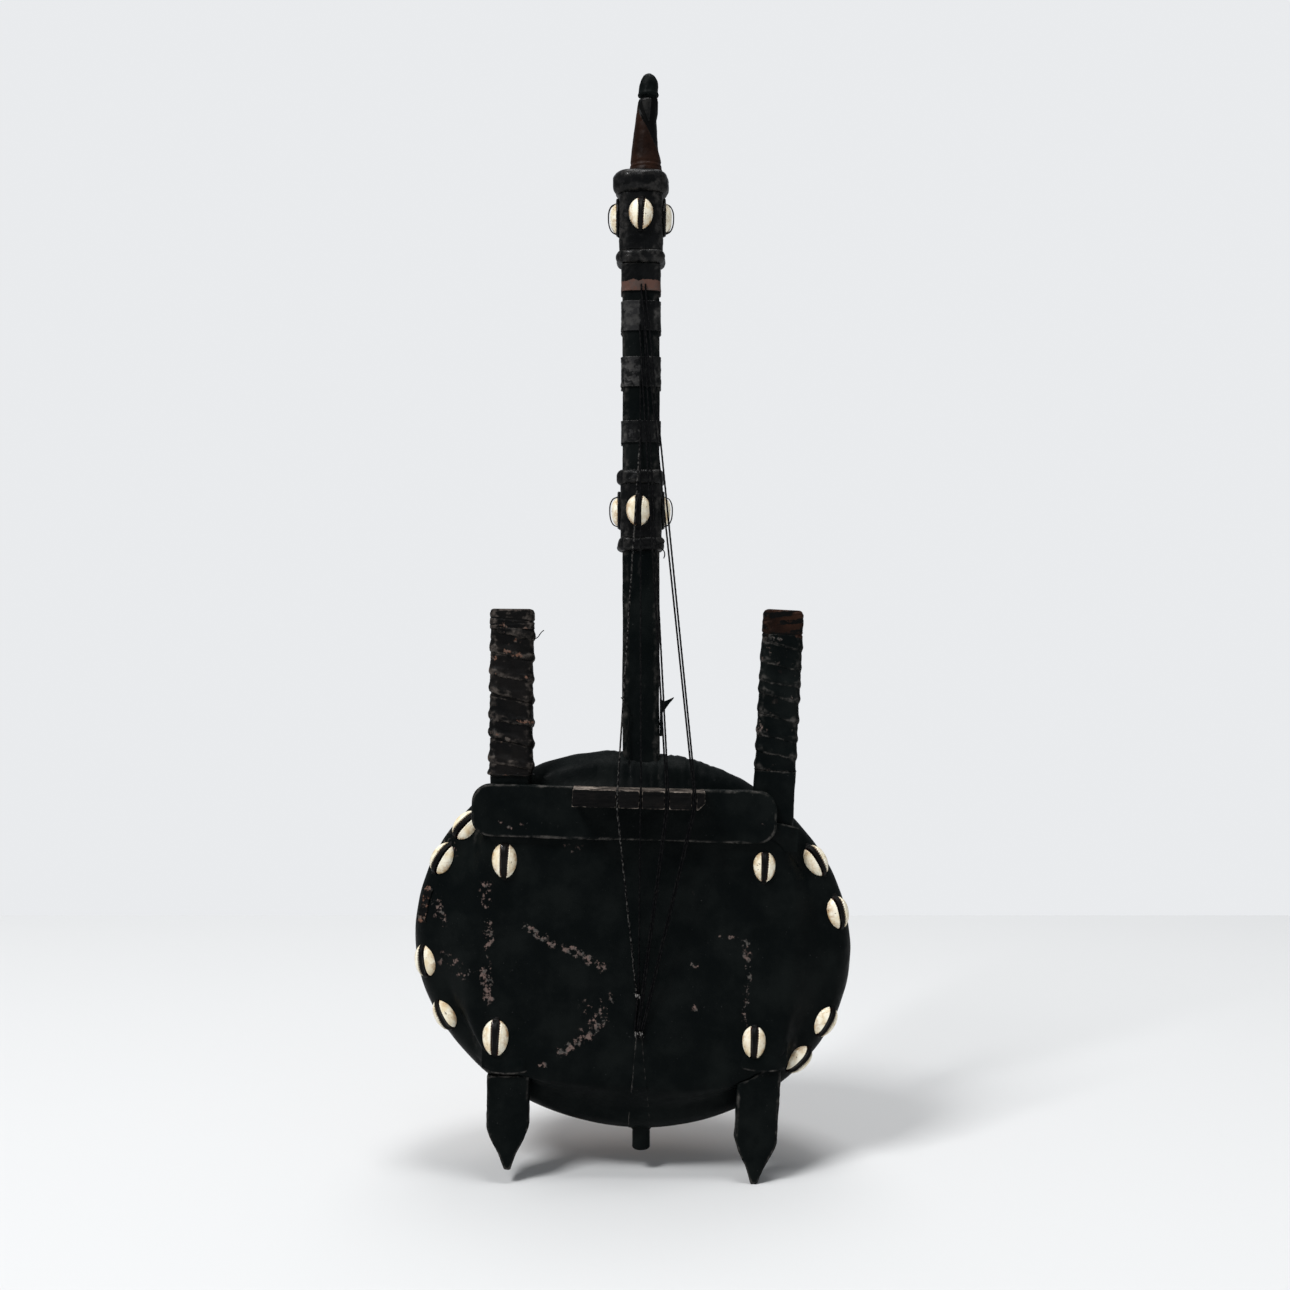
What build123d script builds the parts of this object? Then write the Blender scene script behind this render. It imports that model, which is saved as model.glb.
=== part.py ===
"""A hunter's-harp ngoni: half calabash under a black hide, leather-bound neck, two handle sticks, six strings.

Millimetres. -Y is the way the face looks, +X is to the right as the face is looked at, +Z runs up the neck.
The origin is where the tail spike leaves the body, on the neck's axis.
"""
from build123d import *
from math import atan, atan2, cos, degrees, hypot, radians, sin, sqrt
import os

os.makedirs("parts", exist_ok=True)

# Clearances
FIT = 0.15            # between pieces that are sewn, glued or pushed together
SLIDE = 0.2           # between the neck and the bands that slide on it
SEAT = 0.1            # between a shell or strap and the hide that it lies on

# Body: an oval half calabash, rolled a little clockwise, under a hide with a rounded shoulder
BODY_LONG = 131.5     # half length of the oval, over the hide
BODY_SHORT = 113.0    # half height of the oval, over the hide
BODY_ROLL = 8.8       # degrees
BODY_X = -5.0
BODY_Z = 115.2
BODY_DEPTH = 110.0    # from the face to the back of the bowl
FACE_Y = -13.5        # the face's edge, in front of the neck's axis
SHOULDER = 14.0       # radius between the face and the side
HIDE = 1.2
HIDE_LAP = 40.0       # how far the hide laps back over the side
GOURD_WALL = 5.0
REST_LEAN = 10.0        # slope of the neck when the ngoni lies on its bowl and its top roll, degrees
REST_FLAT = 1.0         # depth of the flat on the bowl's back, where it then touches the ground

# The face stands proud where the hide is stretched over the two sticks
PROUD = 11.35
PROUD_LONG = 95.0
PROUD_SHORT = 80.0
PROUD_ROLL = 3.0      # degrees
PROUD_DROP = 3.0      # its centre lies this far under the body's centre
SQUARENESS = 4        # exponent of its squared oval
OUTLINE_POINTS = 24

# Neck
NECK_WIDTH = 22.4
NECK_DEPTH = 20.8
NECK_CORNER = 4.0
NECK_HIDE = 1.0
NECK_TOP = 580.5
COVER_BOTTOM = 213.4
SPIKE_ROOT_RADIUS = 6.2
SPIKE_RADIUS = 5.4
SPIKE_LENGTH = 12.6
SPIKE_ROUNDING = 1.5
SPIKE_ROOT_TOP = 15.0

# Horn-like tip: height over the neck's top, lean to the right, bend to the front, outer radius.
# The bend keeps the tip off the ground when the ngoni lies on its bowl and its top roll.
HORN_RINGS = (
    (0.0, 2.9, 0.0, 10.2), (14.0, 2.7, 0.8, 8.8), (30.0, 3.3, 2.5, 7.0), (46.0, 4.6, 4.4, 6.1), (55.5, 4.9, 4.8, 5.9)
)
HORN_HIDE = 1.4
HOOD_LENGTH = 13.5
HOOD_RADIUS = 6.3
HORN_END_GAP = 4.0    # from the end of the horn to the top of the hood

# Padded rolls and cuffs on the neck: bottom, top, thickness over the neck's hide
TOP_ROLL = (566.1, 580.5, 5.2)
UPPER_CUFF = (532.4, 566.1, 2.3)
UPPER_CUFF_ROLL = (524.0, 532.4, 3.6)
MID_CUFF_TOP_ROLL = (390.5, 399.8, 3.0)
MID_CUFF = (359.2, 390.5, 1.5)
MID_CUFF_ROLL = (350.2, 359.2, 3.0)
CUFF_ROUNDING = 0.6

# Bands that hold the strings: bottom and top
STRING_BAND = (507.2, 523.6)
TUNING_RINGS = ((483.1, 501.2), (449.4, 467.5), (415.8, 429.0))
BAND_WALL = 0.8

# Handle sticks
STICK_WIDTH = 22.0
STICK_DEPTH = 8.0
STICK_CORNER = 2.5
STICK_Y = FACE_Y - 6.0
FOOT_HIDE = 1.6
SLEEVE_HIDE = 1.3
LEFT_TOP = (-76.6, 315.2)
LEFT_TIP = (-79.4, -17.4)
RIGHT_TOP = (85.0, 314.6)
RIGHT_TIP = (66.8, -25.8)
LEFT_CAP_BOTTOM = 303.8
RIGHT_CAP_BOTTOM = 299.1
LEFT_WRAP_BOTTOM = 217.0
RIGHT_WRAP_BOTTOM = 219.2
LEFT_WRAP_THICKNESS = 3.0
RIGHT_WRAP_THICKNESS = 1.4
LEFT_TURNS = 7
RIGHT_TURNS = 7
TURN_GAP = 0.7        # between one turn of the wrap and the next
CAP_TOP = 1.6
FOOT_TOP_OVERLAP = 2.0
# Half outline of a foot, up from its tip: height, share of its half width
FOOT_OUTLINE = ((0.0, 0.15), (9.6, 0.43), (18.0, 0.78), (25.0, 1.0))

# Bridge
PLATE_WIDTH = 179.9
PLATE_HEIGHT = 31.0
PLATE_THICKNESS = 5.5
PLATE_CORNER = 11.0
PLATE_TILT = 1.62     # degrees, right end down
PLATE_X = -9.8
PLATE_Z = 194.2
PLATE_HIDE = 1.2
BAR_LENGTH = 76.8
BAR_HEIGHT = 10.4
BAR_REACH = 20.0      # how far it stands off the plate
BAR_X = -1.2
BAR_Z = 204.6
BAR_CHAMFER = 4.0
NOTCH_DEPTH = 1.3
NOTCHES = (-13.6, -0.1, 15.1, 30.8)

# Strings: each starts on a band and crosses the bar in a notch
STRING_RADIUS = 0.55
STRING_PITCH = 1.2    # two strings side by side
STRING_BEND = 8.0
STRING_START = 4.0    # length that lies on the band's front
# Band that holds it (0 is the string band), start x, notch, place in the notch, place at the knot
STRING_RUNS = (
    (0, 2.7, 3, 0.5, 2.0),
    (0, 0.2, 3, -0.5, 1.0),
    (1, 2.0, 2, 0.5, 0.0),
    (1, -0.7, 2, -0.5, -1.0),
    (2, -0.4, 1, 0.0, 0.5),
    (3, -0.7, 0, 0.0, -0.5),
)
UPPER_KNOT = (-2.1, 86.0)
LOWER_KNOT = (-1.1, 63.5)
KNOT_RADIUS = 1.7
LOWER_KNOT_RADIUS = 2.2
TAIL_CORD_RADIUS = 0.8
STRAP_THICKNESS = 1.4
STRAP_TOP_WIDTH = 4.0
STRAP_WIDTH = 13.2
STRAP_WIDE_AT = 10.0
STRAP_BACK = 22.0     # how far behind the face it ends, under the body

# Cowries: length, width, height over what they are sewn to
FACE_COWRIE = (21.2, 15.2, 5.6)
SIDE_COWRIE = (20.6, 15.0, 5.6)
NECK_COWRIE = (19.0, 14.8, 5.0)
COWRIE_EGG = 0.55     # share of the length on the narrow side of its widest place
COWRIE_BELLY = 0.25   # share of the height that is cut off flat behind
SLIT_WIDTH = 1.5
SLIT_DEPTH = 1.3
THONG_WIDTH = 1.1
THONG_PROUD = 0.35
FACE_COWRIE_PLACES = ((-80.8, 167.2), (73.1, 163.0), (-86.7, 61.4), (66.9, 59.2))
LEFT_COWRIE_BEARINGS = (145.5, 156.8, 184.9, 201.6)
RIGHT_COWRIE_BEARINGS = (23.5, 7.9, -22.8, -35.3)
EMPTY_SEAT_BEARING = 170.5
SIDE_LEAN = 42.0      # degrees that a shell on the shoulder leans back from the face
UPPER_COWRIE_Z = 553.8
MID_COWRIE_Z = 375.6
MID_FRONT_COWRIE_X = -1.6

# Leather tab at the neck's foot
TAB_BOTTOM = 238.6
TAB_TOP = 262.0
TAB_THICKNESS = 1.4
TAB_DEPTH = 2.2
TAB_REACH = 9.0
TAB_Y = -6.0


def save(node, shape):
    """Writes one sub-part and keeps its volume in the log."""
    solids = shape.solids()
    shape = solids[0] if len(solids) == 1 else Compound(children=list(solids))
    export_step(shape, f"parts/{node}.step")
    print(node, len(solids), round(sum(s.volume for s in solids)))


def on_body(shape):
    """Takes a round shape about the Y axis to the rolled oval body's place."""
    oval = scale(shape, by=(BODY_LONG / BODY_SHORT, 1, 1))
    return Pos(BODY_X, FACE_Y, BODY_Z) * Rot(0, BODY_ROLL, 0) * oval


def round_plug(grow):
    """The round blank of the bowl with its shoulder, grown outwards from the hide's outer side."""
    flat = BODY_SHORT - SHOULDER
    back = BODY_DEPTH - SHOULDER + grow
    profile = make_face([
        Line((0, -grow), (flat, -grow)),
        CenterArc((flat, SHOULDER), SHOULDER + grow, -90, 90),
        EllipticalCenterArc((0, SHOULDER), BODY_SHORT + grow, back, 0, arc_size=90),
        Line((0, SHOULDER + back), (0, -grow)),
    ])
    return revolve(profile, Axis.Y, 360)


def squared_oval(half_long, half_short, power, roll, centre, y):
    """A face at depth y, bounded by a smooth closed curve between an oval and a rounded rectangle."""
    turn = radians(roll)
    points = []
    for i in range(OUTLINE_POINTS):
        angle = radians(360 * i / OUTLINE_POINTS)
        c, s = cos(angle), sin(angle)
        reach = (abs(c) ** power + abs(s) ** power) ** (-1 / power)
        u, v = half_long * c * reach, half_short * s * reach
        points.append((centre[0] + u * cos(turn) + v * sin(turn), y, centre[1] - u * sin(turn) + v * cos(turn)))
    return make_face(Spline(*points, periodic=True))


def proud_face(grow):
    """The low frustum that the sticks push out of the face, with its slopes run on into the body."""
    sunk = 2.0
    rim_long = (BODY_SHORT - SHOULDER) * BODY_LONG / BODY_SHORT
    rim_short = BODY_SHORT - SHOULDER
    spread = 1 + sunk / PROUD
    base_long = PROUD_LONG + (rim_long - PROUD_LONG) * spread
    base_short = PROUD_SHORT + (rim_short - PROUD_SHORT) * spread
    base = squared_oval(base_long, base_short, 2, BODY_ROLL, (BODY_X, BODY_Z), FACE_Y + sunk - grow)
    top = squared_oval(
        PROUD_LONG, PROUD_SHORT, SQUARENESS, PROUD_ROLL, (BODY_X, BODY_Z - PROUD_DROP), FACE_Y - PROUD - grow
    )
    return loft([base, top], ruled=True)


def hide_blank(grow=0.0):
    """Everything inside the hide's outer side, grown by a clearance."""
    return on_body(round_plug(grow)) + proud_face(grow)


def upright(width, depth, corner, bottom, top):
    """A block about the neck's axis with rounded upright edges."""
    return Pos(0, 0, bottom) * extrude(RectangleRounded(width, depth, corner), top - bottom)


def round_ends(block, radius):
    """Rounds the edges of a block's top and bottom faces."""
    by_height = block.faces().sort_by(Axis.Z)
    return fillet(by_height[0].edges() + by_height[-1].edges(), radius)


def collar(bottom, top, wall, clearance, rounding):
    """A closed band round the neck's hide."""
    inner = (NECK_WIDTH + 2 * clearance, NECK_DEPTH + 2 * clearance, NECK_CORNER + clearance)
    outer = (NECK_WIDTH + 2 * wall, NECK_DEPTH + 2 * wall, NECK_CORNER + wall)
    return round_ends(upright(*outer, bottom, top), rounding) - upright(*inner, bottom - 1, top + 1)


def roll_collar(bottom, top, wall):
    """A padded roll: a collar whose edges are rounded nearly to a half round."""
    return collar(bottom, top, wall, FIT, min((top - bottom) / 2, wall) - 0.3)


def horn(shrink, length):
    """The tip's cone up to a height, thinner by shrink than the leather outside."""
    rings = [Pos(x, -bend, NECK_TOP + z) * Circle(r - shrink) for z, x, bend, r in HORN_RINGS]
    cone = loft(rings, ruled=True)
    return split(cone, bisect_by=Plane.XY.offset(NECK_TOP + length), keep=Keep.BOTTOM)


def resting_cut():
    """What the flat takes off the bowl's back, square to the ground that the ngoni lies on."""
    lean, roll = radians(REST_LEAN), radians(BODY_ROLL)
    short = BODY_SHORT - HIDE - FIT
    deep = BODY_DEPTH - SHOULDER - HIDE - FIT
    long = short * BODY_LONG / BODY_SHORT
    reach = hypot(long * sin(lean) * sin(roll), deep * cos(lean), short * sin(lean) * cos(roll))
    block = Pos(0, reach - REST_FLAT, 0) * Box(
        BODY_LONG, BODY_DEPTH, BODY_LONG, align=(Align.CENTER, Align.MIN, Align.CENTER)
    )
    return Pos(BODY_X, FACE_Y + SHOULDER, BODY_Z) * Rot(REST_LEAN, 0, 0) * block


def make_body(blank):
    """Calabash bowl with an open mouth, and the hide over it."""
    inside = on_body(round_plug(-HIDE)) + proud_face(-HIDE)
    lap = Pos(0, FACE_Y + HIDE_LAP, 0) * Box(
        4 * BODY_LONG, 2 * BODY_DEPTH, 8 * BODY_SHORT, align=(Align.CENTER, Align.MIN, Align.CENTER)
    )
    hide = blank - inside - lap
    outer = round_plug(-HIDE - FIT)
    hollow = round_plug(-HIDE - FIT - GOURD_WALL)
    mouth = Rot(90, 0, 0) * Cylinder(BODY_SHORT - SHOULDER + 1, 4 * GOURD_WALL)
    bowl = on_body(outer - hollow - mouth)
    neck_hole = upright(
        NECK_WIDTH + 2 * FIT, NECK_DEPTH + 2 * FIT, NECK_CORNER + FIT, BODY_Z, BODY_Z + 2 * BODY_SHORT
    )
    spike_hole = Pos(0, 0, BODY_Z / 2) * Cylinder(SPIKE_ROOT_RADIUS + FIT, 2 * BODY_SHORT)
    spike_hole = split(spike_hole, bisect_by=Plane.XY.offset(BODY_Z / 2), keep=Keep.BOTTOM)
    save("gourd_bowl", bowl - neck_hole - spike_hole - resting_cut())
    hide = hide - neck_hole - spike_hole
    for top, tip in ((LEFT_TOP, LEFT_TIP), (RIGHT_TOP, RIGHT_TIP)):
        hide = hide - stick_core(top, tip, FIT)
    save("face_skin", hide)


def make_neck():
    """Neck stick with its spike and horn core, its hide, and the leather on its tip."""
    core = (NECK_WIDTH - 2 * NECK_HIDE, NECK_DEPTH - 2 * NECK_HIDE, NECK_CORNER - NECK_HIDE)
    tip_length = HORN_RINGS[-1][0]
    stick = upright(*core, SPIKE_ROOT_TOP, NECK_TOP)
    root = Pos(0, 0, SPIKE_ROOT_TOP / 2) * Cylinder(SPIKE_ROOT_RADIUS, SPIKE_ROOT_TOP)
    spike = Pos(0, 0, -SPIKE_LENGTH / 2) * Cylinder(SPIKE_RADIUS, SPIKE_LENGTH)
    spike = fillet(spike.edges().sort_by(Axis.Z)[0], SPIKE_ROUNDING)
    save("neck_stick", stick + root + spike + horn(HORN_HIDE, tip_length))
    inner = (NECK_WIDTH - 2 * NECK_HIDE + FIT, NECK_DEPTH - 2 * NECK_HIDE + FIT, NECK_CORNER - NECK_HIDE)
    cover = upright(NECK_WIDTH, NECK_DEPTH, NECK_CORNER, COVER_BOTTOM, NECK_TOP)
    save("neck_cover", cover - upright(*inner, COVER_BOTTOM - 1, NECK_TOP + 1))
    hood_bottom = tip_length - HOOD_LENGTH + HORN_END_GAP
    core_air = horn(HORN_HIDE - FIT, tip_length)
    save("tip_cone_wrap", horn(0, hood_bottom) - core_air)
    lean, bend = HORN_RINGS[-1][1:3]
    hood = Pos(lean, -bend, NECK_TOP + hood_bottom + HOOD_LENGTH / 2) * Cylinder(HOOD_RADIUS, HOOD_LENGTH)
    hood = fillet(hood.edges().sort_by(Axis.Z)[-1], HOOD_RADIUS - 1)
    save("tip_hood", hood - core_air)


def make_collars():
    """Padded rolls, cuffs and the sliding bands."""
    save("neck_top_roll", roll_collar(*TOP_ROLL))
    save("upper_cuff", collar(*UPPER_CUFF, FIT, CUFF_ROUNDING))
    save("upper_cuff_lower_roll", roll_collar(*UPPER_CUFF_ROLL))
    save("mid_cuff_upper_roll", roll_collar(*MID_CUFF_TOP_ROLL))
    save("mid_cuff", collar(*MID_CUFF, FIT, CUFF_ROUNDING))
    save("mid_cuff_lower_roll", roll_collar(*MID_CUFF_ROLL))
    save("string_band", collar(*STRING_BAND, SLIDE + BAND_WALL, SLIDE, BAND_WALL / 4))
    for number, (bottom, top) in enumerate(TUNING_RINGS, 1):
        save(f"tuning_ring_{number}", collar(bottom, top, SLIDE + BAND_WALL, SLIDE, BAND_WALL / 4))


def stick_place(top, tip):
    """Location of a stick's own frame: origin at the middle of its top, its length down its own -Z."""
    lean = degrees(atan((top[0] - tip[0]) / (top[1] - tip[1])))
    return Pos(top[0], STICK_Y, top[1]) * Rot(0, lean, 0)


def stick_length(top, tip):
    """Length of a stick from its capped top to the tip of its foot."""
    return hypot(top[0] - tip[0], top[1] - tip[1])


def foot_blade(length, inset, depth, reach):
    """A flat blade with a pointed foot in the stick's own frame, up to the height reach."""
    half = STICK_WIDTH / 2 + FOOT_HIDE
    side = [(max(half * share - inset, half * FOOT_OUTLINE[0][1] / 2), height + inset - length)
            for height, share in FOOT_OUTLINE]
    outline = side + [(side[-1][0], reach), (-side[-1][0], reach)] + [(-x, z) for x, z in side[::-1]]
    blade = Plane.XZ * make_face(Polyline(*outline, close=True))
    return extrude(blade, depth / 2, both=True)


def stick_core(top, tip, grow=0.0):
    """A wooden stick in place: a flat bar with rounded edges and a pointed foot, grown by a clearance."""
    length = stick_length(top, tip)
    section = RectangleRounded(STICK_WIDTH + 2 * grow, STICK_DEPTH + 2 * grow, STICK_CORNER + grow)
    bar = Pos(0, 0, -length) * extrude(section, length - CAP_TOP + grow)
    return stick_place(top, tip) * (bar & foot_blade(length, FOOT_HIDE - grow, 2 * STICK_DEPTH, 0))


def wrap(place, wrap_top, wrap_bottom, thickness, turns, name):
    """A leather strip wound round a stick in one unbroken run, thicker at its lower, lapped edge.

    It goes level round each rounded edge and falls along each flat side, so that a turn falls by one pitch.
    """
    pitch = (wrap_top - wrap_bottom) / (turns + 1)
    height = pitch - TURN_GAP
    inner = STICK_CORNER + FIT
    sides = (STICK_WIDTH - 2 * STICK_CORNER, STICK_DEPTH - 2 * STICK_CORNER)
    half_x, half_y = sides[0] / 2, sides[1] / 2
    corner_centres = ((half_x, -half_y), (half_x, half_y), (-half_x, half_y), (-half_x, -half_y))
    section = make_face(Polyline(
        (inner, -height / 2), (inner + thickness, -height / 2),
        (inner + thickness / 2, height / 2), (inner, height / 2), close=True,
    ))
    upright_section = Plane.XZ * section
    pieces, z, levels = [], wrap_top - pitch / 2, []
    for step in range(4 * turns):
        side, angle = step % 4, 90 * (step % 4) - 90
        x, y = corner_centres[side - 1]
        flat = Rot(0, 0, angle) * upright_section
        run = sides[step % 2]
        fall = pitch * run / (2 * sum(sides))
        along = Vector(-sin(radians(angle)), cos(radians(angle)), -fall / run)
        pieces.append(extrude(Pos(x, y, z) * flat, run * along.length, dir=along))
        z -= fall
        levels.append((side, z))
        x, y = corner_centres[side]
        bend = Pos(x, y, z) * Rot(0, 0, angle) * revolve(upright_section, Axis.Z, 90)
        pieces.append(bend)
    gaps = [high - low - height for (side, high), (other, low) in zip(levels, levels[4:]) if side == other]
    strip = pieces[0] + pieces[1:]
    print(name, "wrap turns", turns, "least gap to itself", round(min(gaps), 2), "solids", len(strip.solids()))
    return place * strip


def make_handle(side, top, tip, cap_bottom, wrap_bottom, wrap_thickness, turns, blank):
    """One handle: stick, foot sheath, sleeve at the hide, wound strip and folded cap."""
    place = stick_place(top, tip)
    length = stick_length(top, tip)
    core_air = stick_core(top, tip, FIT)
    save(f"{side}_handle_stick", stick_core(top, tip))
    strip = wrap(place, cap_bottom - top[1], wrap_bottom - top[1], wrap_thickness, turns, side)
    save(f"{side}_handle_wrap", strip)

    wall = wrap_thickness
    width = STICK_WIDTH + 2 * wall
    depth = STICK_DEPTH + 2 * wall
    tall = top[1] - cap_bottom
    cap = Pos(0, 0, -tall) * extrude(RectangleRounded(width, depth, STICK_CORNER + wall), tall)
    cap = fillet(cap.faces().sort_by(Axis.Z)[-1].edges(), CAP_TOP * 0.8)
    save(f"{side}_handle_cap", place * cap - core_air)

    edge = proud_edge(top, tip)
    sleeve_top = wrap_bottom - FIT
    sleeve = Pos(0, 0, sleeve_top - top[1]) * extrude(
        RectangleRounded(STICK_WIDTH + 2 * SLEEVE_HIDE, STICK_DEPTH + 2 * SLEEVE_HIDE, STICK_CORNER + SLEEVE_HIDE),
        -(sleeve_top - edge[1] - FOOT_TOP_OVERLAP),
    )
    save(f"{side}_handle_sleeve", largest(place * sleeve - core_air - blank))

    reach = edge[0] - FOOT_TOP_OVERLAP - top[1]
    sheath = foot_blade(length, 0, STICK_DEPTH + 2 * FOOT_HIDE, reach)
    sheath = fillet(sheath.edges().filter_by(Axis.Z), FOOT_HIDE)
    save(f"{side}_foot_sheath", largest(place * sheath - core_air - blank))


def largest(shape):
    """The biggest solid of a cut shape, without the crumbs beside it."""
    return shape.solids().sort_by(SortBy.VOLUME)[-1]


def proud_edge(top, tip):
    """Heights at which a stick dives under the proud face, below and above."""
    lean = (top[0] - tip[0]) / (top[1] - tip[1])
    centre = BODY_Z - PROUD_DROP
    x = top[0] - lean * (top[1] - centre)
    half = PROUD_SHORT * (1 - abs((x - BODY_X) / PROUD_LONG) ** SQUARENESS) ** (1 / SQUARENESS)
    return centre - half, centre + half


def bridge_place():
    """Location of the bridge plate's own frame, on the face side of the hide."""
    return Pos(PLATE_X, FACE_Y - PROUD - FIT, PLATE_Z) * Rot(0, PLATE_TILT, 0)


def bar_point(x, z, reach):
    """A point in the bridge bar's own frame, taken to the part's frame."""
    place = Pos(BAR_X, FACE_Y - PROUD - FIT - PLATE_THICKNESS, BAR_Z) * Rot(0, PLATE_TILT, 0)
    return (place * Pos(x - BAR_X, -reach, z)).position


def make_bridge():
    """Leather-covered board and the notched bar that stands on it."""
    panel = Plane.XZ * RectangleRounded(PLATE_WIDTH, PLATE_HEIGHT, PLATE_CORNER)
    shell = extrude(panel, PLATE_THICKNESS)
    inner = Plane.XZ * RectangleRounded(
        PLATE_WIDTH - 2 * PLATE_HIDE, PLATE_HEIGHT - 2 * PLATE_HIDE, PLATE_CORNER - PLATE_HIDE
    )
    board = extrude(inner, PLATE_THICKNESS - PLATE_HIDE)
    save("plate_leather", bridge_place() * (fillet(shell.faces().sort_by(Axis.Y)[0].edges(), 0.8) - board))
    inner = Plane.XZ * RectangleRounded(
        PLATE_WIDTH - 2 * PLATE_HIDE - FIT, PLATE_HEIGHT - 2 * PLATE_HIDE - FIT, PLATE_CORNER - PLATE_HIDE
    )
    save("plate_board", bridge_place() * extrude(inner, PLATE_THICKNESS - PLATE_HIDE))

    half_long, half_high = BAR_LENGTH / 2, BAR_HEIGHT / 2
    outline = Polyline(
        (-half_long, half_high), (half_long, half_high), (half_long, BAR_CHAMFER - half_high),
        (half_long - BAR_CHAMFER, -half_high), (-half_long, -half_high), close=True,
    )
    bar = extrude(Plane.XZ * make_face(outline), BAR_REACH)
    for number, x in enumerate(NOTCHES):
        held = sum(1 for run in STRING_RUNS if run[2] == number)
        width = 2 * STRING_RADIUS + (held - 1) * STRING_PITCH + 2 * SLIDE
        bar = bar - Pos(x - BAR_X, -BAR_REACH, 0) * Box(width, 2 * NOTCH_DEPTH, 2 * BAR_HEIGHT)
    place = Pos(BAR_X, FACE_Y - PROUD - FIT - PLATE_THICKNESS, BAR_Z) * Rot(0, PLATE_TILT, 0)
    save("bridge_bar", place * bar)


def knot_centre(knot, radius):
    """Centre of a knot that lies on the hide."""
    return Vector(knot[0], FACE_Y - PROUD - SEAT - radius, knot[1])


def make_strings():
    """Six strings from their bands over the bar to two knots, and the cord and strap behind the knots."""
    bands = (STRING_BAND, *TUNING_RINGS)
    band_front = -(NECK_DEPTH / 2 + SLIDE + BAND_WALL + SEAT + STRING_RADIUS)
    in_notch = BAR_REACH - NOTCH_DEPTH + SEAT + STRING_RADIUS
    for number, (band, x, notch, beside, at_knot) in enumerate(STRING_RUNS, 1):
        bottom = bands[band][0]
        across = NOTCHES[notch] + beside * STRING_PITCH
        low = notch < 2
        knot = knot_centre(UPPER_KNOT, KNOT_RADIUS) if low else knot_centre(LOWER_KNOT, LOWER_KNOT_RADIUS)
        above = (KNOT_RADIUS if low else LOWER_KNOT_RADIUS) + SEAT
        points = (
            (x, band_front, bottom + STRING_START),
            (x, band_front, bottom),
            bar_point(across, BAR_HEIGHT / 2, in_notch),
            bar_point(across, -BAR_HEIGHT / 2, in_notch),
            (knot.X + at_knot * STRING_PITCH, knot.Y, knot.Z + above),
        )
        path = FilletPolyline(*points, radius=STRING_BEND)
        string = sweep(Plane(origin=path @ 0, z_dir=path % 0) * Circle(STRING_RADIUS), path)
        save(f"string_{number}", string)
        print("  string length", round(path.length, 1), "share of section by length",
              round(string.volume / (3.14159 * STRING_RADIUS ** 2 * path.length), 4))


def make_tail(blank):
    """Knots, the cord between them and the strap that takes their pull to the tail spike."""
    upper = knot_centre(UPPER_KNOT, KNOT_RADIUS)
    lower = knot_centre(LOWER_KNOT, LOWER_KNOT_RADIUS)
    knots = [Pos(*upper) * Sphere(KNOT_RADIUS)]
    wide = 2.6 * STRING_PITCH
    bead = Pos(*lower) * Rot(0, 90, 0) * Cylinder(LOWER_KNOT_RADIUS, 2 * wide)
    knots.append(fillet(bead.edges(), LOWER_KNOT_RADIUS * 0.8))
    save("string_knots", Compound(children=[k.solid() for k in knots]))
    start = upper - Vector(0, 0, KNOT_RADIUS + SEAT)
    end = Vector(lower.X - 2.2 * STRING_PITCH, lower.Y, lower.Z + LOWER_KNOT_RADIUS + SEAT)
    line = Line(start, end)
    save("tail_cord", sweep(Plane(origin=line @ 0, z_dir=line % 0) * Circle(TAIL_CORD_RADIUS), line))

    strap = hide_blank(SEAT + STRAP_THICKNESS) - blank
    top = LOWER_KNOT[1] - LOWER_KNOT_RADIUS
    middle = LOWER_KNOT[0]
    outline = Polyline(
        (middle - STRAP_TOP_WIDTH / 2, top), (middle + STRAP_TOP_WIDTH / 2, top),
        (middle + STRAP_WIDTH / 2, STRAP_WIDE_AT), (middle + STRAP_WIDTH / 2, -SPIKE_LENGTH),
        (middle - STRAP_WIDTH / 2, -SPIKE_LENGTH), (middle - STRAP_WIDTH / 2, STRAP_WIDE_AT), close=True,
    )
    reach = STRAP_BACK + PROUD + 2 * STRAP_THICKNESS
    cutter = Pos(0, FACE_Y + STRAP_BACK, 0) * extrude(Plane.XZ * make_face(outline), reach)
    spike_hole = Cylinder(SPIKE_ROOT_RADIUS + FIT, 2 * SPIKE_LENGTH)
    save("tail_strap", largest((strap & cutter) - spike_hole))


def egg(length, width, height, grow):
    """A cowrie's blank about the origin, long along Y and height up Z, grown outwards."""
    narrow = length * COWRIE_EGG + grow
    broad = length * (1 - COWRIE_EGG) + grow
    radius = width / 2 + grow
    profile = make_face([
        EllipticalCenterArc((0, 0), radius, narrow, -90, arc_size=90),
        EllipticalCenterArc((0, 0), radius, broad, 0, arc_size=90),
        Line((0, broad), (0, -narrow)),
    ])
    belly = height * (1 - COWRIE_BELLY) + grow
    return scale(revolve(profile, Axis.Y, 360), by=(1, 1, belly / radius))


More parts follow.
